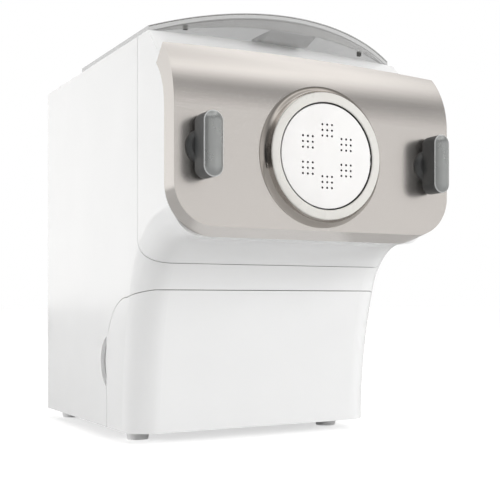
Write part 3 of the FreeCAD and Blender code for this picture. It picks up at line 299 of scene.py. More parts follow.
# %% Moulded skin
mottle_grain = 0.3
moulded_skin, given, result = effect("moulded_skin", ["Grain", "Wave", "Grain Share"], ["Height", "Mottle"])
fine = noise(moulded_skin, given["Place"], given["Grain"], 3.0)
slow = noise(moulded_skin, given["Place"], given["Wave"], 1.0)
feed(moulded_skin, maths(moulded_skin, "MULTIPLY_ADD", fine, given["Grain Share"], slow), result["Height"])
feed(moulded_skin, maths(moulded_skin, "MULTIPLY_ADD", fine, mottle_grain, slow), result["Mottle"])
print("group:", moulded_skin.name)

# %% [markdown]
# ## Handled patches
#
# Hands polish a surface here and leave it dull there. A painted map could place each patch,
# but on a machine that is wiped clean they lie anywhere, so a cloudy noise with more
# contrast is enough.

# %% Handled patches
handled, given, result = effect("handled_patches", ["Spread"], ["Patch"])
cloud = noise(handled, given["Place"], given["Spread"], 5.0)
feed(handled, ranged(handled, cloud, (0.40, 0.68)), result["Patch"])
print("group:", handled.name)

# %% [markdown]
# ## Brushed lines
#
# A brush draws long lines along X and fine ones across it. A wave texture would be too
# regular. Noise that is read along a stretched place gives lines of uneven length and depth.

# %% Brushed lines
brushed, given, result = effect("brushed_lines", ["Length", "Fineness"], ["Height", "Streak"])
squeeze = brushed.nodes.new("ShaderNodeCombineXYZ")
stretch = brushed.nodes.new("ShaderNodeVectorMath")
stretch.operation = "MULTIPLY"
for title, value in (("X", given["Length"]), ("Y", given["Fineness"]), ("Z", given["Fineness"])):
    feed(brushed, value, squeeze.inputs[title])
feed(brushed, given["Place"], stretch.inputs[0])
feed(brushed, squeeze.outputs[0], stretch.inputs[1])
lines = noise(brushed, stretch.outputs[0], 1.0, 4.0)
for title in ("Height", "Streak"):
    feed(brushed, lines, result[title])
print("group:", brushed.name)

# %% [markdown]
# ## Turning marks
#
# A lathe tool leaves rings about the shaft. Here a wave texture is right, because the feed
# of a lathe is regular, and a touch of distortion keeps it from looking printed.

# %% Turning marks
turned_marks, given, result = effect("turning_marks", ["Pitch"], ["Height"])
rings = turned_marks.nodes.new("ShaderNodeTexWave")
rings.wave_type = "RINGS"
rings.rings_direction = "Y"
rings.inputs["Distortion"].default_value = 0.6
feed(turned_marks, given["Place"], rings.inputs["Vector"])
feed(turned_marks, given["Pitch"], rings.inputs["Scale"])
feed(turned_marks, rings.outputs["Fac"], result["Height"])
print("group:", turned_marks.name)

# %% [markdown]
# ## A recipe for moulded plastic
#
# Most of the machine is moulded plastic. Each tone could be a material built by hand, but
# one recipe covers them: two close tones that drift into each other, a roughness that
# wanders a little, and a skin of grain and slow waves as a bump. What differs from piece to
# piece is the tone, the gloss and the size of the grain.

# %% Plastic recipe
def blank(name):
    """A new material with its node tree, shader and object coordinates."""
    material = bpy.data.materials.new(name)
    material.use_nodes = True
    tree = material.node_tree
    shader = tree.nodes["Principled BSDF"]
    return material, tree, shader, tree.nodes.new("ShaderNodeTexCoord").outputs["Object"]


def place_group(tree, group, place, **values):
    """A group placed in a material; values are its inputs, with _ for a space."""
    node = tree.nodes.new("ShaderNodeGroup")
    node.node_tree = group
    feed(tree, place, node.inputs["Place"])
    for title, value in values.items():
        feed(tree, value, node.inputs[title.replace("_", " ")])
    return node.outputs


def tint(tree, value, dark, light, socket):
    """value from 0 to 1 becomes a colour between dark and light on a socket."""
    feed(tree, blended(tree, value, (*dark, 1), (*light, 1)), socket)


def bump(tree, value, depth, shader, strength=1.0):
    """value as a bump of depth metres."""
    relief = tree.nodes.new("ShaderNodeBump")
    relief.inputs["Strength"].default_value = strength
    relief.inputs["Distance"].default_value = depth
    feed(tree, value, relief.inputs["Height"])
    feed(tree, relief.outputs["Normal"], shader.inputs["Normal"])


def plastic(name, dark, light, rough, grain, wave, depth, grain_share=0.25, coat=0.0, specular=0.5):
    """Moulded plastic between two tones; rough is (least, most), grain and wave are per metre."""
    material, tree, shader, place = blank(name)
    skin = place_group(tree, moulded_skin, place, Grain=grain, Wave=wave, Grain_Share=grain_share)
    patch = place_group(tree, handled, place, Spread=wave * 0.6)
    tint(tree, skin["Mottle"], dark, light, shader.inputs["Base Color"])
    feed(tree, ranged(tree, patch["Patch"], end=rough), shader.inputs["Roughness"])
    bump(tree, skin["Height"], depth, shader)
    shader.inputs["Coat Weight"].default_value = coat
    shader.inputs["Coat Roughness"].default_value = 0.08
    shader.inputs["Specular IOR Level"].default_value = specular
    return material


print("plastic recipe ready")

# %% [markdown]
# ## White and pale plastics
#
# The body is glossy white, the tray and the disc are more matt so that dough lets go, and the
# gears are ivory nylon. Pure white would leave no room for a highlight, so the whitest of
# them stops well short of it.

# %% White and pale plastics
finishes = {
    "shell_white": plastic("gloss_white_shell", (0.835, 0.84, 0.842), (0.865, 0.868, 0.87), (0.16, 0.26),
                           1400.0, 22.0, 0.00004, 0.12, 0.15),
    "inner_white": plastic("matt_white_tray", (0.78, 0.785, 0.79), (0.82, 0.82, 0.82), (0.42, 0.55),
                           1600.0, 40.0, 0.00005),
    "ring_pale": plastic("satin_pale_ring", (0.66, 0.645, 0.61), (0.71, 0.70, 0.67), (0.24, 0.34),
                         1800.0, 60.0, 0.00003),
    "disc_white": plastic("satin_white_disc", (0.82, 0.81, 0.80), (0.86, 0.855, 0.85), (0.30, 0.42),
                          2000.0, 70.0, 0.00003),
    "foot_grey": plastic("soft_pale_foot", (0.84, 0.84, 0.84), (0.88, 0.88, 0.88), (0.50, 0.65),
                         2600.0, 90.0, 0.00006, 0.6),
    "case_grey": plastic("ribbed_grey_case", (0.28, 0.29, 0.30), (0.33, 0.34, 0.35), (0.45, 0.60),
                         1500.0, 50.0, 0.00006, 0.5),
    "gear_nylon": plastic("ivory_nylon", (0.74, 0.71, 0.62), (0.80, 0.78, 0.70), (0.38, 0.50),
                          1700.0, 60.0, 0.00004),
}
print("pale plastics:", sorted(finishes))

# %% [markdown]
# ## Grey and black plastics
#
# The knobs and buttons are satin greys that hide finger marks, the control panel is glossy
# black, and the shaft seal is rubber. They come from the same recipe; rubber has the
# coarsest grain and the weakest reflection.

# %% Grey and black plastics
finishes.update({
    "panel_dark": plastic("champagne_carrier", (0.70, 0.69, 0.63), (0.76, 0.75, 0.70), (0.26, 0.36),
                          1500.0, 50.0, 0.00003),
    "knob_grey": plastic("satin_graphite_knob", (0.095, 0.098, 0.100), (0.125, 0.13, 0.132), (0.30, 0.42),
                         2200.0, 80.0, 0.00004, 0.5),
    "button_grey": plastic("soft_button_grey", (0.30, 0.31, 0.32), (0.36, 0.37, 0.38), (0.40, 0.52),
                           2400.0, 90.0, 0.00004, 0.5),
    "control_black": plastic("piano_black_panel", (0.012, 0.012, 0.013), (0.018, 0.018, 0.019), (0.08, 0.18),
                             1200.0, 30.0, 0.00002, 0.1, 0.5),
    "seal_rubber": plastic("black_lip_rubber", (0.02, 0.02, 0.02), (0.035, 0.035, 0.035), (0.60, 0.75),
                           2600.0, 90.0, 0.00006, 0.6, 0.0, 0.3),
})
print("finishes so far:", len(finishes))

# %% [markdown]
# ## Brushed panel metal
#
# The front panel is thin metal brushed from side to side. Anisotropy could blur its
# highlight up and down, but the brushed lines as a faint bump do it too, and they also show
# as lines up close.

# %% Brushed panel metal
material, tree, shader, place = blank("brushed_champagne_metal")
lines = place_group(tree, brushed, place, Length=18.0, Fineness=5200.0)
patch = place_group(tree, handled, place, Spread=14.0)
tint(tree, lines["Streak"], (0.585, 0.555, 0.53), (0.675, 0.645, 0.62), shader.inputs["Base Color"])
feed(tree, ranged(tree, patch["Patch"], end=(0.21, 0.25)), shader.inputs["Roughness"])
bump(tree, lines["Height"], 0.00001, shader, 0.6)
shader.inputs["Metallic"].default_value = 0.9
finishes["panel_metal"] = material
print("finish:", material.name)

# %% [markdown]
# ## Turned and cast metals
#
# Shafts, pins and screws are steel from a lathe, and the bearings are oiled bronze. Their
# rings must lie about the shaft and not about the middle of the scene, so a Mapping node
# moves the pattern to the height of the axis.

# %% Turned and cast metals
shaft_height = 0.1984
motor_height = 0.1144


def metal(name, dark, light, rough, centre_height, pitch):
    """Lathe-turned metal whose rings run about an axis along Y at centre_height."""
    material, tree, shader, place = blank(name)
    centred = tree.nodes.new("ShaderNodeMapping")
    centred.inputs["Location"].default_value = (0, 0, -centre_height)
    feed(tree, place, centred.inputs["Vector"])
    marks = place_group(tree, turned_marks, centred.outputs[0], Pitch=pitch)
    patch = place_group(tree, handled, place, Spread=60.0)
    tint(tree, patch["Patch"], dark, light, shader.inputs["Base Color"])
    feed(tree, ranged(tree, patch["Patch"], end=rough), shader.inputs["Roughness"])
    bump(tree, marks["Height"], 0.00002, shader, 0.5)
    shader.inputs["Metallic"].default_value = 1.0
    return material


turned = {
    "steel": metal("turned_steel", (0.50, 0.50, 0.51), (0.60, 0.60, 0.60), (0.22, 0.34), shaft_height, 900.0),
    "motor_steel": metal("zinc_motor_steel", (0.42, 0.43, 0.44), (0.52, 0.53, 0.54), (0.30, 0.46),
                         motor_height, 500.0),
    "bearing_bronze": metal("oiled_bronze", (0.42, 0.25, 0.11), (0.55, 0.34, 0.16), (0.32, 0.45),
                            shaft_height, 700.0),
}
finishes.update(turned)
print("turned metals:", len(turned))

# %% [markdown]
# ## Smoked lid
#
# The lid is smoked: light passes it and comes out grey. True refraction traps light in its
# thin side walls, which then look black, while the real smoke is a cloudy dye that stays
# mid grey where the walls overlap. So the lid is a glossy grey film with an alpha: each
# layer takes its share, as dye does.

# %% Smoked lid
lid_alpha = 0.36
finishes["lid_smoke"] = plastic("smoked_lid", (0.30, 0.30, 0.293), (0.34, 0.34, 0.333), (0.06, 0.12),
                                900.0, 18.0, 0.00003, 0.05, 0.3)
finishes["lid_smoke"].node_tree.nodes["Principled BSDF"].inputs["Alpha"].default_value = lid_alpha
print("lid lets through", 1 - lid_alpha)

# %% [markdown]
# ## Clear bowl
#
# The bowl has thick clear walls that bend light, so it does use refraction. At the full
# strength of real plastic its stacked walls hide the paddle, so the index of refraction is
# set a little lower.

# %% Clear bowl
bowl_tone = 0.92
bowl_edge = bowl_tone * 0.96
material, tree, shader, place = blank("clear_bowl")
patch = place_group(tree, handled, place, Spread=20.0)
skin = place_group(tree, moulded_skin, place, Grain=900.0, Wave=18.0, Grain_Share=0.05)
tint(tree, patch["Patch"], [bowl_tone] * 3, [bowl_edge] * 3, shader.inputs["Base Color"])
feed(tree, ranged(tree, patch["Patch"], end=(0.04, 0.10)), shader.inputs["Roughness"])
bump(tree, skin["Height"], 0.00005, shader)
shader.inputs["IOR"].default_value = 1.25
shader.inputs["Coat Weight"].default_value = 0.7
shader.inputs["Coat Roughness"].default_value = 0.03
shader.inputs["Transmission Weight"].default_value = 1.0
finishes["bowl_clear"] = material
print("finish:", material.name)

# %% [markdown]
# ## Control board and display window
#
# The board is green laminate with copper lines under the varnish. Tracks could be drawn one
# by one, but a square brick pattern suggests them well enough at this size. The window is
# dark glossy plastic.

# %% Board and window
material, tree, shader, place = blank("green_laminate")
tracks = tree.nodes.new("ShaderNodeTexBrick")
tracks.inputs["Scale"].default_value = 160.0
tracks.inputs["Mortar Size"].default_value = 0.02
tracks.inputs["Color1"].default_value = (0.012, 0.10, 0.045, 1)
tracks.inputs["Color2"].default_value = (0.016, 0.13, 0.055, 1)
tracks.inputs["Mortar"].default_value = (0.10, 0.28, 0.10, 1)
feed(tree, place, tracks.inputs["Vector"])
feed(tree, tracks.outputs["Color"], shader.inputs["Base Color"])
patch = place_group(tree, handled, place, Spread=50.0)
feed(tree, ranged(tree, patch["Patch"], end=(0.28, 0.45)), shader.inputs["Roughness"])
finishes["board_green"] = material

material, tree, shader, place = blank("smoked_window")
patch = place_group(tree, handled, place, Spread=40.0)
tint(tree, patch["Patch"], (0.008, 0.010, 0.012), (0.014, 0.016, 0.019), shader.inputs["Base Color"])
feed(tree, ranged(tree, patch["Patch"], end=(0.04, 0.12)), shader.inputs["Roughness"])
finishes["window_dark"] = material
print("finishes:", len(finishes))

# %% [markdown]
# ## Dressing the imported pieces
#
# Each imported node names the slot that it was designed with, so its finish is found by that
# name. Assigning to the material slot keeps the mesh as it is.

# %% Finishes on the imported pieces
for node in nodes.values():
    for slot in node.material_slots:
        slot.material = finishes[slot.material.name.split(".")[0]]
print("dressed:", len(nodes))

# %% [markdown]
# ## Making new pieces
#
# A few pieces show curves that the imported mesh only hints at: the pillow of each knob, the
# cone of the ring, the round holes of the disc. Each is remade with bmesh operators. One
# helper closes such a shape: it turns the faces outwards, marks sharp edges, gives it a
# finish and lets it ride on its body.

# %% A helper that finishes a shape
millimetre = 0.001
touching = 1e-6
front_plane = cad_low.y


def settle(name, shape, body, materials, sharp=35.0):
    """A finished object from a bmesh: closed, smooth but for its sharp edges, riding on body."""
    bmesh.ops.remove_doubles(shape, verts=shape.verts, dist=touching)
    loose = [edge for edge in shape.edges if not edge.link_faces]
    bmesh.ops.delete(shape, geom=loose, context="EDGES")
    bmesh.ops.recalc_face_normals(shape, faces=shape.faces)
    for face in shape.faces:
        face.smooth = True
    for edge in shape.edges:
        edge.smooth = len(edge.link_faces) == 2 and edge.calc_face_angle(0.0) < radians(sharp)
    open_edges = sum(1 for edge in shape.edges if len(edge.link_faces) != 2)
    mesh = bpy.data.meshes.new(name)
    shape.to_mesh(mesh)
    shape.free()
    for material in materials:
        mesh.materials.append(material)
    piece = bpy.data.objects.new(name, mesh)
    bpy.context.collection.objects.link(piece)
    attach(piece, body)
    print(name, len(mesh.polygons), "faces,", open_edges, "open edges")
    return piece


print("front plane at", round(front_plane, 4))

# %% [markdown]
# ## Drawing and spinning
#
# Two moves come back in most pieces: a flat face drawn into a block, and a profile spun into
# a ring. The editor does them with Extrude and Spin, and the same operators serve here.

# %% Helpers that draw and spin
def draw_out(shape, faces, vec):
    """Extrudes faces by vec and returns the faces at the far end."""
    drawn = bmesh.ops.extrude_face_region(shape, geom=faces)["geom"]
    far_verts = [part for part in drawn if isinstance(part, bmesh.types.BMVert)]
    bmesh.ops.translate(shape, verts=far_verts, vec=vec)
    return [part for part in drawn if isinstance(part, bmesh.types.BMFace)]


def spun(shape, profile, centre):
    """A closed profile of (radius, y) spun about the axis along Y through centre."""
    corners = [shape.verts.new((centre.x + radius, y, centre.z)) for radius, y in profile]
    outline = [shape.edges.new(pair) for pair in zip(corners, corners[1:] + corners[:1])]
    bmesh.ops.spin(shape, geom=corners + outline, cent=centre, axis=(0, 1, 0), angle=2 * pi, steps=128,
                   use_merge=True)


def from_axis(point, centre):
    """How far a point lies from the axis along Y through centre."""
    return Vector((point.x - centre.x, point.z - centre.z)).length


shaft = Vector((0, 0, shaft_height))
print("shaft at height", shaft_height)

# %% [markdown]
# ## Knob finishes
#
# The knob is one grey plastic, shown here in three tones: the front is a lighter satin as
# painted light, the sides a dark graphite as painted shade, and the thin chamfer between them
# a pale tone as a painted highlight line. One material with a mask could carry all three, but
# three plain ones set on the faces are simpler to change.

# %% Knob finishes
# the dark sides and hub: painted shade
knob_painted_shade_side = plastic("knob_side_painted_shade", (0.050, 0.052, 0.053), (0.070, 0.073, 0.074), (0.34, 0.46),
                    2200.0, 80.0, 0.00004, 0.5)
# the lighter front: painted light
knob_painted_light_face = plastic("knob_face_painted_light", (0.30, 0.31, 0.308), (0.36, 0.37, 0.368), (0.26, 0.32),
                    2400.0, 90.0, 0.00003, 0.4)
knob_painted_light_face.node_tree.nodes["Principled BSDF"].inputs["Metallic"].default_value = 0.75
# the pale chamfer: a painted highlight line
knob_painted_highlight = plastic("knob_chamfer_painted_highlight", (0.50, 0.51, 0.51), (0.58, 0.59, 0.59), (0.25, 0.32),
                    2400.0, 90.0, 0.00002, 0.4)
knob_finishes = [knob_painted_shade_side, knob_painted_light_face, knob_painted_highlight]
print("knob finishes:", [material.name for material in knob_finishes])

# %% [markdown]
# ## Knobs
#
# Each locking knob is a tall bar with round ends on a low hub. Its front is a pillow: flat
# along the middle and falling to the rim. It could be sculpted, but inset rings, each pushed
# forward a little less than the last, draw that pillow evenly, and the first ring is the
# chamfer. The bar is a circle pulled apart into two halves and drawn forward.

# %% Knobs
knob_tall, knob_wide = 0.0408, 0.0132
rear_round = 0.0014
knob_back, knob_shoulder = front_plane + 0.018, front_plane + 0.0035
pillow_steps = ((0.0006, 0.0006), (0.0012, 0.0013), (0.0013, 0.0009), (0.0013, 0.0005), (0.0012, 0.0002))
hub_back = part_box("left_knob")[1].y
hub_profile = [(0.0, 0.0), (11.2, 0.0), (11.2, 1.2), (10.4, 2.6), (8.5, 4.0), (0.0, 4.8)]


def knob(name):
    """One knob: a stretched circle drawn forward, with a chamfer and a pillow, on a round hub."""
    low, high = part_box(name)
    axis = Vector(((low.x + high.x) / 2, 0, shaft_height))
    shape = bmesh.new()
    bmesh.ops.create_circle(shape, cap_ends=True, segments=64, radius=knob_wide / 2,
                            matrix=Matrix.Rotation(pi / 2, 4, "X"))
    for side in (-1, 1):
        half = [vert for vert in shape.verts if vert.co.z * side > touching]
        bmesh.ops.translate(shape, verts=half, vec=(0, 0, side * (knob_tall - knob_wide) / 2))
    bmesh.ops.translate(shape, verts=shape.verts, vec=(axis.x, knob_back, axis.z))
    cap = draw_out(shape, shape.faces[:], (0, knob_shoulder - knob_back, 0))
    chamfer = []
    for step, forward in pillow_steps:
        ring = bmesh.ops.inset_region(shape, faces=cap, thickness=step, use_even_offset=True)["faces"]
        chamfer = chamfer or ring
        for face in ring + cap:
            face.material_index = 1
        bmesh.ops.translate(shape, verts=[vert for face in cap for vert in face.verts], vec=(0, -forward, 0))
    # the chamfer takes the painted highlight, the pillow above it the painted light
    for face in chamfer:
        face.material_index = 2
    rear = [edge for edge in shape.edges
            if all(abs(vert.co.y - knob_back) < touching for vert in edge.verts)]
    bmesh.ops.bevel(shape, geom=rear, offset=rear_round, segments=4, profile=0.5, affect="EDGES", material=-1)
    spun(shape, [(out * millimetre, hub_back - ahead * millimetre) for out, ahead in hub_profile], axis)
    piece = settle(name + "_grip", shape, name, knob_finishes, 30.0)
    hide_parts(name)


for name in ("left_knob", "right_knob"):
    knob(name)

# %% [markdown]
# ## Ring finishes
#
# The ring's cone is polished metal in the panel's colour, its tone darkened as painted shade
# for the dim wall that it mirrors, and the seat that holds the disc lies in shadow. Lamps alone
# would not get the seat dark enough behind so thin a ring, so its shade is painted with a
# nearly black plastic of its own.

# %% Ring finishes
# the cone's darker tone is painted shade
cone_metal_and_painted_shade, tree, shader, place = blank("polished_cone_and_painted_shade")
patch = place_group(tree, handled, place, Spread=30.0)
tint(tree, patch["Patch"], (0.40, 0.37, 0.34), (0.47, 0.44, 0.41), shader.inputs["Base Color"])
feed(tree, ranged(tree, patch["Patch"], end=(0.14, 0.20)), shader.inputs["Roughness"])
shader.inputs["Metallic"].default_value = 1.0
# near black painted shade for the ring's seat and the disc's hole walls
painted_shade_black = plastic("black_painted_shade", (0.015, 0.015, 0.015), (0.025, 0.025, 0.025), (0.5, 0.6),
                   1500.0, 60.0, 0.00003)
print("ring finishes:", cone_metal_and_painted_shade.name, painted_shade_black.name)

# %% [markdown]
# ## Pressure ring
#
# The ring that holds the disc has a pale flat face, a polished cone that falls back to the
# panel and a soft collar at its foot. Loops could be bridged one after another, but it is
# one turned profile, so a single spin makes it, and the faces take their finish from where
# they lie.

# %% Ring
ring_front = front_plane + 0.0132
seat_edge, face_edge = 0.0361, 0.0423
ring_profile = [(36.0, 17.8), (28.8, 17.8), (28.8, 8.0), (35.9, 8.0), (35.9, 0.5), (36.4, 0.0), (41.3, 0.0),
                (42.0, 0.25), (42.4, 0.9), (43.2, 3.6), (44.1, 5.6), (45.3, 6.8), (46.6, 7.3), (47.4, 7.45),
                (47.4, 7.5), (36.0, 7.5)]
shape = bmesh.new()
spun(shape, [(out * millimetre, ring_front + behind * millimetre) for out, behind in ring_profile], shaft)
for face in shape.faces:
    reach = from_axis(face.calc_center_median(), shaft)
    # the cone beyond the face takes the darkened metal, the seat inside takes the black painted shade
    if reach > face_edge:
        face.material_index = 1
    elif reach < seat_edge:
        face.material_index = 2
ring_finishes = [finishes["ring_pale"], cone_metal_and_painted_shade, painted_shade_black]
ring = settle("pressure_ring_turned", shape, "base", ring_finishes, 30.0)
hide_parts("pressure_ring")

# %% [markdown]
# ## Shaping disc
#
# Dough is pressed through 54 small round holes in six upright groups of nine, and a small
# notch at the rim sets the disc in its seat. Cutting each hole with a boolean is slow and
# leaves poor faces. Here all circles are laid down first and filled as one sheet, which
# leaves the holes open.

# %% Disc outline and holes
disc_front = front_plane + 0.014
disc_thick = 0.007
disc_radius = 0.0350
notch_depth = 0.0010
hole_radius = 0.00078
hole_pitch = 0.00375
group_radius = 0.0173
shape = bmesh.new()
bmesh.ops.create_circle(shape, segments=120, radius=disc_radius)
notch = max(shape.verts, key=lambda vert: vert.co.x)
bmesh.ops.translate(shape, verts=[notch], vec=(-notch_depth, 0, 0))
for group in range(6):
    angle = radians(30 + 60 * group)
    for column in (-1, 0, 1):
        for level in (-1, 0, 1):
            across = group_radius * cos(angle) + hole_pitch * column
            up = group_radius * sin(angle) + hole_pitch * level
            placed = Matrix.Translation((across, up, 0))
            bmesh.ops.create_circle(shape, segments=14, radius=hole_radius, matrix=placed)
bmesh.ops.triangle_fill(shape, use_beauty=True, use_dissolve=False, edges=shape.edges[:], normal=(0, 0, 1))
print("disc sheet:", len(shape.faces), "triangles")

# %% [markdown]
# ## Thickness of the disc
#
# The sheet is stood upright and drawn forward to the disc's thickness. A bevel along every
# edge would widen the holes, so only the front of the rim gets one. Light hardly reaches
# into holes so deep, so their walls are painted near black as painted shade.

# %% Disc
pierced_radius = 0.030
rim_inside = 0.034
rim_round = 0.0006
bmesh.ops.rotate(shape, verts=shape.verts, cent=(0, 0, 0), matrix=Matrix.Rotation(pi / 2, 3, "X"))
bmesh.ops.translate(shape, verts=shape.verts, vec=(0, disc_front + disc_thick, shaft_height))
draw_out(shape, shape.faces[:], (0, -disc_thick, 0))
rim_verts = {vert for vert in shape.verts
             if abs(vert.co.y - disc_front) < touching and from_axis(vert.co, shaft) > rim_inside}
rim = [edge for edge in shape.edges if rim_verts.issuperset(edge.verts)]
bmesh.ops.bevel(shape, geom=rim, offset=rim_round, segments=3, profile=0.5, affect="EDGES", material=-1)
# hole walls take the black painted shade
for face in shape.faces:
    if abs(face.normal.y) < 0.5 and from_axis(face.calc_center_median(), shaft) < pierced_radius:
        face.material_index = 1
disc = settle("shaping_disc_pierced", shape, "base", [finishes["disc_white"], painted_shade_black], 30.0)
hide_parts("shaping_disc")

# %% [markdown]
# ## Drawer sides at the finger notches
#
# A finger reaches the edge of the drawer through a round notch in each side wall. The
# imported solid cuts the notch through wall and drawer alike, but on the real machine the
# drawer's own side runs on unbroken. A half disc, flush with the drawer's side, fills it.

# %% Drawer cheeks
notch_y, notch_z = -0.0055, 0.057
notch_radius = 0.0205
drawer_side = 0.10098
cheek_thick = 0.0026
drawer_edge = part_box("drawer_front")[1].y
for side, name in ((-1, "left"), (1, "right")):
    shape = bmesh.new()
    bmesh.ops.create_circle(shape, cap_ends=True, segments=96, radius=notch_radius,
                            matrix=Matrix.Rotation(pi / 2, 4, "Y"))
    bmesh.ops.translate(shape, verts=shape.verts, vec=(side * drawer_side, notch_y, notch_z))
    whole = shape.verts[:] + shape.edges[:] + shape.faces[:]
    bmesh.ops.bisect_plane(shape, geom=whole, plane_co=(0, drawer_edge, 0), plane_no=(0, 1, 0),
                           clear_outer=True)
    draw_out(shape, shape.faces[:], (-side * cheek_thick, 0, 0))
    settle(name + "_drawer_cheek", shape, "drawer", [finishes["shell_white"]])

# %% [markdown]
# ## Strokes of print
#
# The signs on the machine are thin raised print. They could be text turned into a mesh, but
# three simple strokes are enough for all of them: a bar, a hoop and an arrow. Each starts as
# one flat face that is drawn up by the thickness of the print.

# %% Strokes
print_thick = 0.00012


def raised(shape, faces):
    """Faces drawn up by the thickness of the print."""
    draw_out(shape, faces, (0, 0, print_thick))


def bar(shape, x, y, wide, long):
    """A small upright bar of print about x, y."""
    placed = Matrix.Translation((x, y, 0)) @ Matrix.Diagonal((wide / 2, long / 2, 1, 1))
    made = bmesh.ops.create_grid(shape, x_segments=1, y_segments=1, size=1, matrix=placed)
    raised(shape, list({face for vert in made["verts"] for face in vert.link_faces}))


def hoop(shape, radius, width):
    """A ring of print: a disc whose inner part is removed."""
    made = bmesh.ops.create_circle(shape, cap_ends=True, segments=40, radius=radius)
    inner = made["verts"][0].link_faces[0]
    ring = bmesh.ops.inset_region(shape, faces=[inner], thickness=width, use_boundary=True,
                                  use_even_offset=True)
    bmesh.ops.delete(shape, geom=[inner], context="FACES_ONLY")
    raised(shape, ring["faces"])


def arrow(shape, radius, turn):
    """A triangle of print turned by turn degrees."""
    made = bmesh.ops.create_circle(shape, cap_ends=True, segments=3, radius=radius,
                                   matrix=Matrix.Rotation(radians(turn), 4, "Z"))
    raised(shape, [made["verts"][0].link_faces[0]])


def lay_on(shape, low, high):
    """Moves print that is drawn about the origin to the middle of a box's top."""
    bmesh.ops.translate(shape, verts=shape.verts, vec=((low.x + high.x) / 2, (low.y + high.y) / 2, high.z))


print("print is", print_thick / millimetre, "mm thick")

# %% [markdown]
# ## Marks on the buttons
#
# The buttons carry plain symbols that any appliance could have: on and off, a list, a
# triangle for more, a clock and a start arrow. One sheet of marks could lie over them all,
# but each has its own, which rides on its button and sinks with it.

# %% Printed symbols
ink = plastic("pale_print", (0.80, 0.80, 0.78), (0.86, 0.86, 0.84), (0.45, 0.55), 2500.0, 90.0, 0.00002)
symbols = {
    "power_button": [(hoop, 0.0026, 0.0005), (bar, 0, 0.0030, 0.0006, 0.0026)],
    "program_button": [(bar, 0, row * 0.0015, 0.0044, 0.0006) for row in (-1, 0, 1)],
    "amount_button": [(arrow, 0.0026, 0)],
    "time_button": [(hoop, 0.0029, 0.0005), (bar, 0, 0.0008, 0.0005, 0.0017),
                    (bar, 0.0006, 0, 0.0014, 0.0005)],
    "start_button": [(arrow, 0.0030, -90)],
}
for name, strokes in symbols.items():
    shape = bmesh.new()
    for stroke, *sizes in strokes:
        stroke(shape, *sizes)
    low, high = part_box(name)
    lay_on(shape, low, high)
    settle(name + "_symbol", shape, name, [ink])

# %% [markdown]
# ## Number in the window
#
# The display shows a plain number of grams, in digits of seven bars as such displays have.
# A font would need a file of its own, while a table of which bars are lit needs only the
# bar stroke. The bars glow a little.

# %% Number in the window
glow_print, tree, shader, place = blank("lit_segments")
patch = place_group(tree, handled, place, Spread=300.0)
tint(tree, patch["Patch"], (0.55, 0.75, 0.80), (0.70, 0.85, 0.88), shader.inputs["Base Color"])
shader.inputs["Emission Color"].default_value = (0.55, 0.85, 0.95, 1)
shader.inputs["Emission Strength"].default_value = 0.6
digit_wide, digit_tall, digit_step, line = 0.0050, 0.0100, 0.0095, 0.0009
lit = {"0": "abcdef", "1": "bc", "5": "acdfg"}
spots = {"a": (0, 1), "g": (0, 0), "d": (0, -1), "f": (-1, 0.5), "b": (1, 0.5),
         "e": (-1, -0.5), "c": (1, -0.5)}
shape = bmesh.new()
for rank, digit in enumerate("150"):
    for letter in lit[digit]:
        right, up = spots[letter]
        wide, tall = (digit_wide - line, line) if letter in "agd" else (line, digit_tall / 2 - line)
        bar(shape, (rank - 1) * digit_step + right * digit_wide / 2, up * digit_tall / 2, wide, tall)
low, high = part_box("display_window")
lay_on(shape, low, high)
settle("window_number", shape, "base", [glow_print])

# %% [markdown]
# ## Ribs under the lid
#
# Two short ribs hang under the lid, a little behind its front wall, and look dark through
# the smoke. They could be part of the lid's mesh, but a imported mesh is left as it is, so
# each is a small beveled bar of its own that rides on the lid.

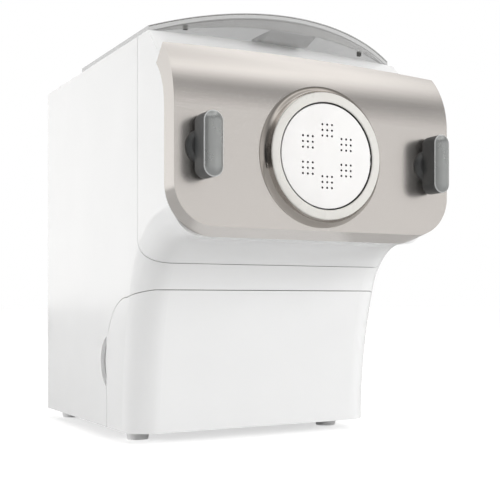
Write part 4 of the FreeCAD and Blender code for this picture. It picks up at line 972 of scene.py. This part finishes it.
# %% Lid ribs
rib_x, rib_y, rib_z = 0.072, -0.0765, 0.2908
rib_size = Matrix.Diagonal((0.0030, 0.0025, 0.0036, 1))
rib_round = 0.0004
lid_low, lid_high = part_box("lid")
rib_dark = plastic("smoked_rib", (0.10, 0.10, 0.098), (0.14, 0.14, 0.135), (0.2, 0.3),
                   1500.0, 60.0, 0.00003)
for side, name in ((-1, "left"), (1, "right")):
    shape = bmesh.new()
    bmesh.ops.create_cube(shape, size=1, matrix=Matrix.Translation((side * rib_x, rib_y, rib_z)) @ rib_size)
    bmesh.ops.bevel(shape, geom=shape.edges[:], offset=rib_round, segments=2, profile=0.5,
                    affect="EDGES", material=-1)
    settle(name + "_lid_rib", shape, "lid", [rib_dark])

# %% [markdown]
# ## Edges of the lid
#
# A moulded lid shows a dark line along its front edges, where the sight runs along the wall;
# here each line is painted shade, a thin dark tube.
# The front edge bows outwards and arches up at once. A curve through points of those two
# arcs, with a thin round bevel, draws each line, and is then made a mesh.

# %% Lid edge lines
lid_half, corner_y, nose_y = lid_high.x, -0.076, lid_low.y
edge_height, arch_height = 0.2885, lid_high.z
steps = 48


def bow(x, ends, middle):
    """The value at x on a shallow arc that is middle at the centre and ends at the sides."""
    rise = middle - ends
    radius = (lid_half ** 2 + rise ** 2) / (2 * abs(rise))
    drop = radius - (radius ** 2 - x ** 2) ** 0.5
    return middle - drop * (1 if rise > 0 else -1)


def painted_shade_line(name, below, inward, thick):
    """A thin line of painted shade along the front of the lid, below its top and inward of its edge."""
    curve = bpy.data.curves.new(name, "CURVE")
    curve.dimensions = "3D"
    curve.bevel_depth = thick
    curve.bevel_resolution = 2
    curve.use_fill_caps = True
    spline = curve.splines.new("POLY")
    spline.points.add(steps)
    for number, point in enumerate(spline.points):
        x = (lid_half - inward) * (2 * number / steps - 1)
        point.co = (x, bow(x, corner_y, nose_y) + inward, bow(x, edge_height, arch_height) - below, 1)
    drawn = bpy.data.objects.new(name + "_drawn", curve)
    mesh = bpy.data.meshes.new_from_object(drawn)
    bpy.data.objects.remove(drawn)
    shape = bmesh.new()
    shape.from_mesh(mesh)
    bpy.data.meshes.remove(mesh)
    # the dark smoke tone on the line is painted shade
    settle(name, shape, "lid", [rib_dark])


painted_shade_line("lid_upper_painted_shade", below=0.0006, inward=0.0006, thick=0.0003)
painted_shade_line("lid_lower_painted_shade", below=0.0042, inward=0.0004, thick=0.0002)

# %% [markdown]
# ## Sizes and the end
#
# The dressed machine has to stay inside the imported one, so both boxes are taken and
# compared.

# %% Sizes and finish
look_low, look_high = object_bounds()
drift = max(abs(a - b) for a, b in zip((*cad_low, *cad_high), (*look_low, *look_high)))
print("box kept:", drift < 0.002)
